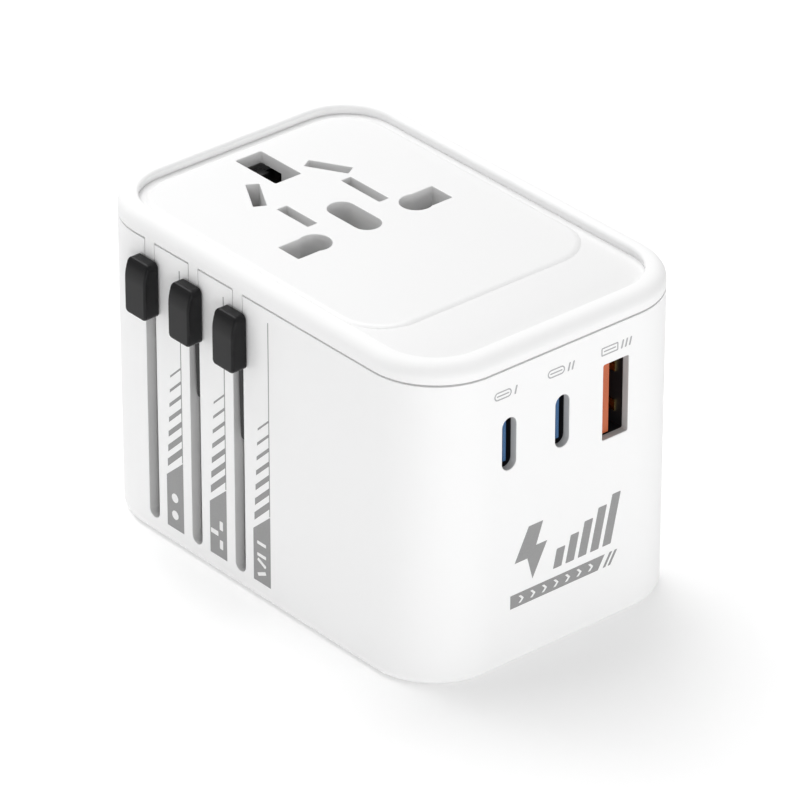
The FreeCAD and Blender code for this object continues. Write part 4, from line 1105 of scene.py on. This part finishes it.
class ADAPTER_OT_socket_plate(bpy.types.Operator):
    """Socket plate with its raised pad and openings"""

    bl_idname = "adapter.socket_plate"
    bl_label = "Socket plate"

    def execute(self, context):
        size = sizes()
        low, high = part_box("socket_plate")
        rise, rim_gap, edge, groove, lip = mm(0.03, 0.15, 0.2, 0.12, 0.13)
        plate_top = high.z - size.pad_rise
        plate_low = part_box("main_shell")[1].z + rise
        corner = size.corner - size.rim_width - rim_gap
        outline = grown(rounded(low.x, high.x, low.y, high.y, corner), -groove)
        rings = []
        for growth, z in [(0, plate_low)] + convex_round(edge, plate_top, -1)[::-1]:
            rings.append([(u, v, z) for u, v in grown(outline, growth)])
        steps = 9
        for step in range(steps + 1):
            share = step / steps
            side = size.pad_side + size.pad_slope * share
            front = low.y + (size.pad_front + size.pad_front_slope * share)
            corner = size.pad_corner - size.pad_slope * share
            z = plate_top + size.pad_rise * (1 - (1 - share) ** 2)
            pad = rounded(low.x + side, high.x - side, front, high.y - side, corner)
            rings.append([(u, v, z) for u, v in pad])
        plate = skin("socket_plate_skin", rings)
        reach, front, back, corner, overlap = mm(16.2, 1.0, 26.9, 0.4, 0.3)
        well = rounded(-reach, reach, front, back, corner, 4)
        combine(plate, [block("well", well, "z", low.z, plate_low + overlap)], "UNION")
        deep = high.z - low.z + MM
        cutters = [opening(hole, "z", high.z, deep, lip, -1) for hole in socket_openings()]
        combine(plate, [join("cutters", cutters)], "DIFFERENCE")
        smooth(plate)
        stand_in(plate, "white_plate", "socket_plate")
        return {"FINISHED"}


# ---- sliders


class ADAPTER_OT_knobs(bpy.types.Operator):
    """The three slider knobs and the two lock arms below them"""

    bl_idname = "adapter.knobs"
    bl_label = "Knobs and lock arms"

    def execute(self, context):
        for name in SLIDERS:
            self.knob(name)
        for name in ("uk", "us"):
            self.lock_arm(name)
        return {"FINISHED"}

    def knob(self, name):
        """Knob that leans back at its top, with the stem that joins it to its carrier."""
        size = sizes()
        low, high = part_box(f"{name}_knob")
        thick, corner, overlap = mm(2.55, 0.8, 0.4)
        front = low.x
        back = front + thick
        brow = high.z - size.knob_brow
        outline = rounded(low.y, high.y, low.z, high.z, corner, 10)
        profile = convex_round(size.knob_round, front, 1, 8) + [(0, back)]
        knob = stack(f"{name}_knob_skin", outline, "x", profile)
        mesh = bmesh.new()
        mesh.from_mesh(knob.data)
        steps = 12
        for step in range(1, steps + 1):
            level = (0, 0, high.z - size.knob_brow * step / steps)
            whole = mesh.verts[:] + mesh.edges[:] + mesh.faces[:]
            bmesh.ops.bisect_plane(mesh, geom=whole, plane_co=level, plane_no=(0, 0, 1))
        for vertex in mesh.verts:
            share = max(0.0, (vertex.co.z - brow) / size.knob_brow)
            depth = (back - vertex.co.x) / (back - front)
            vertex.co.x += size.knob_lean * share**2 * depth
        mesh.to_mesh(knob.data)
        mesh.free()
        below, wide, tall, corner = mm(1.0, 1.8, 5.8, 0.2)
        stem = centred((low.y + high.y) / 2, brow - below, wide, tall, corner, 3)
        combine(knob, [block("stem", stem, "x", back - overlap, high.x)], "UNION")
        smooth(knob)
        stand_in(knob, "knob_black", f"{name}_knob")

    def lock_arm(self, name):
        """Arm that narrows to a rounded tip inside the slot."""
        low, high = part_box(f"{name}_lock_arm")
        tip, edge = mm(0.52, 0.08)
        outline = arc(low.y + tip, low.z + tip, tip, HALF_TURN, HALF_TURN, 12)
        outline += [(high.y, high.z), (low.y, high.z)]
        arm = block(f"{name}_lock_arm_skin", outline, "x", low.x, high.x)
        stand_in(soften(arm, edge), "knob_black", f"{name}_lock_arm")


# ---- printed marks


def marks(name, material, outlines, axis, share):
    """Printed shapes that stand proud of the shell by a share of the ink's room."""
    ink = sizes().ink
    root = 0.02 * MM
    face = getattr(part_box("main_shell")[0], axis) + ink
    ends = (face - share * ink, face + root)
    pieces = [block("mark", outline, axis, *ends) for outline in outlines]
    return belongs(join(name, pieces), material, "main_shell")


class ADAPTER_OT_slider_marks(bpy.types.Operator):
    """Stripes, lines and plug signs printed beside the slots"""

    bl_idname = "adapter.slider_marks"
    bl_label = "Slider marks"

    def execute(self, context):
        size = sizes()
        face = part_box("main_shell")[0].x + size.ink
        from_slot, stripes_top = mm(6.8, 31.2)
        values = {
            "Stripes": size.stripes,
            "Pitch": size.stripe_pitch,
            "Groups": len(SLIDERS),
            "Group Pitch": size.slot_pitch,
            "Start": (face, slot_y("us") - from_slot, stripes_top),
            "Depth": 1.2 * size.ink,
            "Material": finish("print_grey"),
        }
        stripes = from_tree("slider_stripes", stripe_tree(), values)
        belongs(stripes, "print_grey", "main_shell")
        line_left, line_right, line_low, line_high, corner = mm(0.16, 0.02, 15.2, 47.15, 0.05)
        wide, panel_low, panel_left, panel_right, sign_z = mm(3.7, 3.2, 15.15, 11.75, 7.0)
        grey = []
        white = []
        for name in SLIDERS:
            y = slot_y(name) - from_slot
            first, last = y - line_left, y + wide
            grey.append(rounded(first, y + line_right, line_low, line_high, corner, 2))
            panel = [(first, panel_low), (last, panel_low)]
            grey.append(panel + [(last, panel_right), (first, panel_left)])
            white += self.sign(name, (last + y) / 2, sign_z)
        marks("slider_panels", "print_grey", grey, "x", 0.6)
        marks("slider_signs", "print_white", white, "x", 0.95)
        return {"FINISHED"}

    def sign(self, name, y, z):
        """Pin pattern of each plug, as small shapes."""
        corner = 0.1 * MM
        if name == "eu":
            apart, radius = mm(1.45, 0.75)
            return [circle(y, z + step * apart, radius, 28) for step in SIDES]
        if name == "uk":
            aside, apart, thick, tall = mm(0.75, 1.6, 0.75, 1.5)
            earth_aside, earth_wide, earth_thick = mm(0.8, 1.7, 0.8)
            bars = [
                centred(y - aside, z + step * apart, thick, tall, corner, 2) for step in SIDES
            ]
            return bars + [centred(y + earth_aside, z, earth_wide, earth_thick, corner, 2)]
        rise, shift, apart, drop, slant_apart, wide, thick = mm(1.4, 0.4, 1.0, 3.6, 0.9, 2.0, 0.55)
        lean = 25
        bars = [centred(y, z + shift + step * apart, wide, thick, corner, 2) for step in SIDES]
        for step in SIDES:
            bar_z = z - drop + (step + 1) * slant_apart
            bar = centred(y, bar_z, wide, thick, corner, 2)
            bars.append(turned(bar, step * lean, y, bar_z))
        return [[(u, v + rise) for u, v in bar] for bar in bars]


class ADAPTER_OT_port_marks(bpy.types.Operator):
    """Small port signs above the ports"""

    bl_idname = "adapter.port_marks"
    bl_label = "Port marks"

    def execute(self, context):
        ink = sizes().ink
        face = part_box("main_shell")[0].y + ink
        front, back = face - 0.6 * ink, face + 0.02 * MM
        z, wide, tall, line, shift = mm(45.4, 3.2, 1.35, 0.2, 1.3)
        stroke_shift, stroke_pitch, stroke, stroke_corner = mm(1.1, 0.75, 0.3, 0.1)
        lean = 0.25
        ring = [(0, front), (-line, front), (-line, back), (0, back)]
        pieces = []
        for index, (_, x, _, _, _) in enumerate(port_places()):
            radius = tall / 2 if index < 2 else 0.2 * MM
            outer = centred(x - shift, z, wide, tall, radius)
            pieces.append(stack("ring", outer, "y", ring, looped=True))
            shapes = [centred(x - shift, z, wide - 4.5 * line, line, line / 2, 2)]
            for count in range(index + 1):
                stroke_x = x + stroke_shift + count * stroke_pitch
                shape = centred(stroke_x, z, stroke, tall, stroke_corner, 2)
                shapes.append(slant(shape, z, lean))
            pieces += [block("mark", shape, "y", front, back) for shape in shapes]
        belongs(join("port_signs", pieces), "print_pale", "main_shell")
        return {"FINISHED"}


class ADAPTER_OT_power_mark(bpy.types.Operator):
    """Charging sign under the ports: a bolt, rising bars and a bar with slashes"""

    bl_idname = "adapter.power_mark"
    bl_label = "Power mark"

    def execute(self, context):
        base, low, high = mm(13.2, 9.6, 11.8)
        bolt_x = mm(-5.6, -2.9, -5.0, -3.7, -6.4, -9.0, -6.6)
        bolt_z = mm(0, 5.3, 5.3, 8.9, 8.9, 3.7, 3.7)
        shapes = [[(x, base + z) for x, z in zip(bolt_x, bolt_z)]]
        bar_first, bar_pitch, bar_width, bar_corner = mm(-0.9, 2.35, 1.6, 0.12)
        lean, shortest, growth = 0.22, 3.1, 1.25
        for index in range(5):
            tall = (shortest + growth * index) * MM
            x = bar_first + index * bar_pitch
            bar = centred(x, base + tall / 2, bar_width, tall, bar_corner, 3)
            shapes.append(slant(bar, base, lean))
        left, right, slope, slash, slash_pitch = mm(-9.75, 6.9, 1.3, 0.5, 0.95)
        shapes.append([(left, low), (right, low), (right + slope, high), (left, high)])
        for step in (1, 2):
            x = right + step * slash_pitch
            end = x + slope
            shapes.append([(x, low), (x + slash, low), (end + slash, high), (end, high)])
        marks("power_sign", "print_grey", shapes, "y", 0.6)
        first, pitch, thick, point, inset = mm(-8.2, 2.2, 0.45, 0.55, 0.5)
        bottom, centre, top = low + inset, (low + high) / 2, high - inset
        chevrons = []
        for index in range(7):
            x = first + index * pitch
            outer = [(x, bottom), (x + thick, bottom), (x + thick + point, centre)]
            chevrons.append(outer + [(x + thick, top), (x, top), (x + point, centre)])
        marks("power_chevrons", "print_white", chevrons, "y", 0.95)
        return {"FINISHED"}


# ---- ports


class ADAPTER_OT_ports(bpy.types.Operator):
    """Two small ports and a large one: metal shell, tongue and gold contacts"""

    bl_idname = "adapter.ports"
    bl_label = "Ports"

    def execute(self, context):
        rows = row_tree()
        for label, x, *_ in port_places():
            small = label != "usb_a"
            self.shell(label, x, small)
            self.tongue(label, rows, small)
        low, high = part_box("usb_a_shell")
        thick, deep, tall, behind, inset, margin = mm(0.3, 4, 1.8, 1.5, 0.4, 3.3)
        start = (high.x - inset, low.y + behind + deep / 2, low.z + margin)
        step = (0, 0, high.z - low.z - 2 * margin)
        leaf = (thick, deep, tall)
        small_blocks("usb_a_leaves", rows, 2, start, step, leaf, "contact_gold", "usb_a_shell")
        return {"FINISHED"}

    def shell(self, label, x, small):
        """Open-fronted metal box with an even wall, whose inner faces are painted near-black as
        painted shade.
        """
        level = sizes().ports_height
        low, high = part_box(f"{label}_shell")
        thick, edge, corner = mm(0.3, 0.08, 0.45)
        wide, tall = high.x - low.x, high.z - low.z
        outline = centred(x, level, wide, tall, wide / 2 if small else corner)
        profile = convex_round(edge, high.y, -1)
        profile += convex_round(edge, low.y, 1)[::-1]
        profile += [(-thick, low.y + edge), (-thick, high.y - thick)]
        shell = smooth(stack(f"{label}_shell_skin", outline, "y", profile))
        stand_in(shell, "port_steel", f"{label}_shell")
        # inner faces of the steel shell painted near-black: painted shade inside the port
        shell.data.materials.append(finish("liner_black"))
        axis = Vector((x, (low.y + high.y) / 2, level))
        for face in shell.data.polygons:
            inward = (axis - face.center).dot(face.normal) > 0
            face.material_index = int(inward and face.center.y > low.y + edge / 2)

    def tongue(self, label, rows, small):
        """Plastic tongue with its gold contact strips."""
        low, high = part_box(f"{label}_tongue")
        strip, corner, edge, behind, long = mm(0.03, 0.12, 0.15, 0.9, 4.5)
        outline = rounded(low.x + strip, high.x - strip, low.z, high.z, corner, 4)
        tongue = smooth(block(f"{label}_tongue_skin", outline, "y", low.y, high.y, edge))
        stand_in(tongue, "tongue_blue" if small else "tongue_orange", f"{label}_tongue")
        count, pitch, thick = (12, *mm(0.5, 0.26)) if small else (5, *mm(2.0, 0.8))
        faces = (low.x + strip, high.x - strip) if small else (high.x - strip,)
        first = (low.z + high.z) / 2 - (count - 1) * pitch / 2
        step, part, node = (0, 0, pitch), (2 * strip, long, thick), f"{label}_tongue"
        for index, face in enumerate(faces):
            start = (face, low.y + behind + long / 2, first)
            name = f"{label}_contacts_{index}"
            small_blocks(name, rows, count, start, step, part, "contact_gold", node)


def small_blocks(name, rows, count, start, step, part, material, node):
    """Row of equal small blocks that goes with a CAD node."""
    values = {"Count": count, "Start": start, "Step": step, "Block": part}
    row = from_tree(name, rows, {**values, "Material": finish(material)})
    belongs(row, material, node)


# ---- plug side


class ADAPTER_OT_plugs(bpy.types.Operator):
    """Round pins, rectangular pins, flat blades and what carries them"""

    bl_idname = "adapter.plugs"
    bl_label = "Plugs"

    def execute(self, context):
        self.round_pins()
        carry_over(
            ("uk_pins", "nickel_pin", 0.35),
            ("uk_pin_sleeves", "sleeve_black", 0.06),
            ("uk_earth_pin", "sleeve_black", 0.35),
            ("us_blade_left", "nickel_pin", 0.2),
            ("us_blade_right", "nickel_pin", 0.2),
            ("us_rotor_left", "inner_plastic", 0.15),
            ("us_rotor_right", "inner_plastic", 0.15),
            ("eu_carrier", "inner_plastic", 0.15),
            ("uk_carrier", "inner_plastic", 0.15),
            ("us_carrier", "inner_plastic", 0.15),
            ("plug_plate", "white_shell", 0.12),
        )
        return {"FINISHED"}

    def round_pins(self):
        """Round pins with domed tips, and the sleeves round their roots."""
        dome, neck_depth, neck_gap, sleeve_gap = mm(1.2, 0.45, 0.05, 0.02)
        pin_edge, edge = mm(0.15, 0.1)
        steps = 56
        pins = []
        collars = []
        for (low, high), (start, stop) in zip(islands("eu_pins"), islands("eu_pin_sleeves")):
            x, y, _ = middle((low, high))
            radius = (high.x - low.x) / 2
            neck = radius - neck_depth
            below = start.z - neck_gap
            profile = convex_round(dome, low.z, 1, 12)
            profile += [(0, below), (neck - radius, below), (neck - radius, stop.z), (0, stop.z)]
            profile += convex_round(pin_edge, high.z, -1)[::-1]
            pins.append(stack("pin", circle(x, y, radius, steps), "z", profile))
            outer = (stop.x - start.x) / 2
            inside = neck - outer + sleeve_gap
            profile = convex_round(edge, start.z, 1) + convex_round(edge, stop.z, -1)[::-1]
            profile += [(inside, stop.z), (inside, start.z)]
            outline = circle(x, y, outer, steps)
            collars.append(stack("collar", outline, "z", profile, looped=True))
        stand_in(smooth(join("eu_pins_skin", pins)), "nickel_pin", "eu_pins")
        collars = smooth(join("eu_pin_sleeves_skin", collars))
        stand_in(collars, "sleeve_black", "eu_pin_sleeves")


# ---- inside


class ADAPTER_OT_mechanism(bpy.types.Operator):
    """Socket base, shutter, springs, guide wall, contacts and screws"""

    bl_idname = "adapter.mechanism"
    bl_label = "Socket mechanism"

    def execute(self, context):
        carry_over(
            ("socket_base", "inner_plastic", 0.1),
            ("guide_wall", "inner_plastic", 0.1),
            ("shutter", "shutter_black", 0.1),
            ("line_contact", "contact_brass", 0.06),
            ("neutral_contact", "contact_brass", 0.06),
            ("line_strap", "contact_brass", 0.06),
            ("neutral_strap", "contact_brass", 0.06),
            ("fuse_clips", "contact_brass", 0.05),
            ("fuse", "fuse_ceramic", 0.2),
        )
        self.springs()
        self.screws()
        return {"FINISHED"}

    def springs(self):
        """Two return springs, as wire coils."""
        boxes = islands("shutter_springs")
        low, high = boxes[0]
        wire = 0.17 * MM
        values = {
            "Turns": 9.0,
            "Radius": (high.x - low.x) / 2 - wire,
            "Length": high.y - low.y - 2 * wire,
            "Wire": wire,
            "Material": finish("spring_steel"),
        }
        starts = [Vector((middle(box).x, box[0].y + wire, middle(box).z)) for box in boxes]
        coils = smooth(from_tree("shutter_springs_skin", coil_tree(), values, starts))
        stand_in(coils, "spring_steel", "shutter_springs")

    def screws(self):
        """Screws that hold the socket base on the pillars."""
        boxes = islands("base_screws")
        low, high = boxes[0]
        height, shank, recess, recess_depth = mm(1.2, 0.98, 0.4, 1.3)
        head = (high.x - low.x) / 2
        values = {
            "Head Radius": head,
            "Head Height": height,
            "Length": high.z - low.z - height,
            "Radius": shank,
            "Recess": (1.3 * head, recess, recess_depth),
            "Material": finish("spring_steel"),
        }
        tops = [Vector((*middle(box).xy, high.z - height)) for box in boxes]
        screws = smooth(from_tree("base_screws_skin", screw_tree(), values, tops))
        stand_in(screws, "spring_steel", "base_screws")


class ADAPTER_OT_electronics(bpy.types.Operator):
    """Two boards with their transformer, capacitors, choke and small parts"""

    bl_idname = "adapter.electronics"
    bl_label = "Electronics"

    def execute(self, context):
        carry_over(
            ("mains_board", "board_green", 0.05),
            ("usb_board", "board_green", 0.05),
            ("bay_divider", "inner_plastic", 0.08),
            ("board_spacers", "inner_plastic", 0.08),
            ("transformer_core", "ferrite", 0.2),
            ("bulk_capacitors", "can_aluminium", 0.3),
            ("input_choke", "ferrite", 0.2),
            ("switching_chip", "chip_black", 0.1),
            ("heat_spreader", "can_aluminium", 0.1),
        )
        self.winding()
        self.chips()
        return {"FINISHED"}

    def winding(self):
        """Taped winding with ridges where the turns lie."""
        low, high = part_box("transformer_winding")
        x, y, _ = middle((low, high))
        ridge = 0.12 * MM
        turns = 14
        step = (high.z - low.z) / turns
        profile = []
        for turn in range(turns):
            z = low.z + turn * step
            profile += [(-ridge, z), (0, z + 0.3 * step), (0, z + 0.7 * step)]
        profile.append((-ridge, high.z))
        outline = circle(x, y, (high.x - low.x) / 2, 64)
        winding = stack("transformer_winding_skin", outline, "z", profile)
        smooth(winding, NEVER_SHARP)
        stand_in(winding, "winding_tape", "transformer_winding")

    def chips(self):
        """Rows of small chip parts on the free face of the upright board."""
        rows = row_tree()
        first, above, pitch, wide, thick = mm(-8.0, 0.24, 2.0, 1.0, 0.5)
        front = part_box("usb_board")[0].y - above
        for index, z in enumerate(mm(27.0, 25.2)):
            name = f"chip_parts_{index}"
            start, part = (first, front, z), (wide, thick, thick)
            small_blocks(name, rows, 9, start, (pitch, 0, 0), part, "chip_black", "usb_board")


# ---- stage


def area_light(name, place, width, height, watts):
    """Soft white light that looks at the middle of the adapter."""
    data = bpy.data.lights.new(name, "AREA")
    data.shape = "RECTANGLE"
    data.size = width
    data.size_y = height
    data.energy = watts
    light = linked(name, data)
    aim = (Vector((0, 0, 0.03)) - Vector(place)).to_track_quat("-Z", "Y")
    light.matrix_world = Matrix.Translation(Vector(place)) @ aim.to_matrix().to_4x4()
    return light


class ADAPTER_OT_stage(bpy.types.Operator):
    """Pale floor, soft lights and the camera"""

    bl_idname = "adapter.stage"
    bl_label = "Stage"

    def execute(self, context):
        self.floor()
        self.lights(context.scene)
        self.camera(context.scene)
        context.scene.view_settings.view_transform = "Standard"
        return {"FINISHED"}

    def floor(self):
        """Plain white floor under the adapter, with a faint glow that thins the shadow."""
        reach = 3.0
        drop = -0.02 * MM
        mesh = bmesh.new()
        corners = ((-reach, -reach), (reach, -reach), (reach, reach), (-reach, reach))
        mesh.faces.new([mesh.verts.new((x, y, drop)) for x, y in corners])
        floor = as_object("floor", mesh)
        white = (1, 1, 1, 1)
        paper = {"Base Color": (0.98, 0.98, 0.98, 1), "Roughness": 0.9}
        principled("paper", {**paper, "Emission Color": white, "Emission Strength": 0.13})
        floor.data.materials.append(bpy.data.materials["paper"])

    def lights(self, scene):
        """World glow, and soft lights over the top, the front, the near corner and the side."""
        world = scene.world or bpy.data.worlds.new("room")
        scene.world = world
        world.use_nodes = True
        glow = world.node_tree.nodes["Background"].inputs
        glow["Color"].default_value = (1, 1, 1, 1)
        glow["Strength"].default_value = 0.37
        lamps = [
            area_light("top_light", (0.05, 0.34, 0.65), 0.7, 0.7, 4.85),
            area_light("front_light", (0.25, -0.75, 0.14), 0.5, 0.3, 1.05),
            area_light("corner_light", (-0.5, -0.7, 0.14), 0.25, 0.3, 1.7),
            area_light("side_light", (-0.5, 0.4, 0.3), 0.25, 0.25, 0.1),
        ]

    def camera(self, scene):
        """Camera that looks down at the corner between the sliders and the ports."""
        turn = math.radians(-40.259)
        rise = math.radians(29.836)
        away = 947.88 * MM
        target = Vector((0, 0, 24.575 * MM))
        level = math.cos(rise)
        back = Vector((math.sin(turn) * level, -math.cos(turn) * level, math.sin(rise)))
        data = bpy.data.cameras.new("camera")
        data.sensor_width = 36
        data.lens = 293.4
        data.shift_x = 0.0136
        data.shift_y = -0.0072
        data.clip_start = 0.05
        data.clip_end = 20
        camera = linked("camera", data)
        look = back.to_track_quat("Z", "Y").to_matrix().to_4x4()
        camera.matrix_world = Matrix.Translation(target + back * away) @ look
        scene.camera = camera


# ---- add-on


OPERATORS = (
    ADAPTER_OT_shell,
    ADAPTER_OT_top_frame,
    ADAPTER_OT_socket_plate,
    ADAPTER_OT_knobs,
    ADAPTER_OT_slider_marks,
    ADAPTER_OT_port_marks,
    ADAPTER_OT_power_mark,
    ADAPTER_OT_ports,
    ADAPTER_OT_plugs,
    ADAPTER_OT_mechanism,
    ADAPTER_OT_electronics,
    ADAPTER_OT_stage,
)


class ADAPTER_PT_panel(bpy.types.Panel):
    """Sizes, colours and steps of the travel adapter"""

    bl_idname = "ADAPTER_PT_panel"
    bl_label = "Travel Adapter"
    bl_space_type = "VIEW_3D"
    bl_region_type = "UI"
    bl_category = "Adapter"

    def draw(self, context):
        layout = self.layout
        for group, heading in (
            (context.scene.adapter_sizes, "Sizes"),
            (context.scene.adapter_colours, "Colours"),
        ):
            box = layout.box()
            box.label(text=heading)
            for name in group.__annotations__:
                box.prop(group, name)
        steps = layout.column()
        for step in OPERATORS:
            steps.operator(step.bl_idname)


CLASSES = (ADAPTER_PG_sizes, ADAPTER_PG_colours, *OPERATORS, ADAPTER_PT_panel)


def register():
    """Register the classes and hang the settings on the scene."""
    for item in CLASSES:
        bpy.utils.register_class(item)
    bpy.types.Scene.adapter_sizes = PointerProperty(type=ADAPTER_PG_sizes)
    bpy.types.Scene.adapter_colours = PointerProperty(type=ADAPTER_PG_colours)


def unregister():
    """Take the settings and classes away again."""
    del bpy.types.Scene.adapter_colours
    del bpy.types.Scene.adapter_sizes
    for item in reversed(CLASSES):
        bpy.utils.unregister_class(item)


def main():
    """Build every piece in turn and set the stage."""
    register()
    for step in OPERATORS:
        group, name = step.bl_idname.split(".")
        if getattr(getattr(bpy.ops, group), name)() != {"FINISHED"}:
            raise RuntimeError(f"{step.bl_label} didn't finish")


if __name__ == "__main__":
    main()
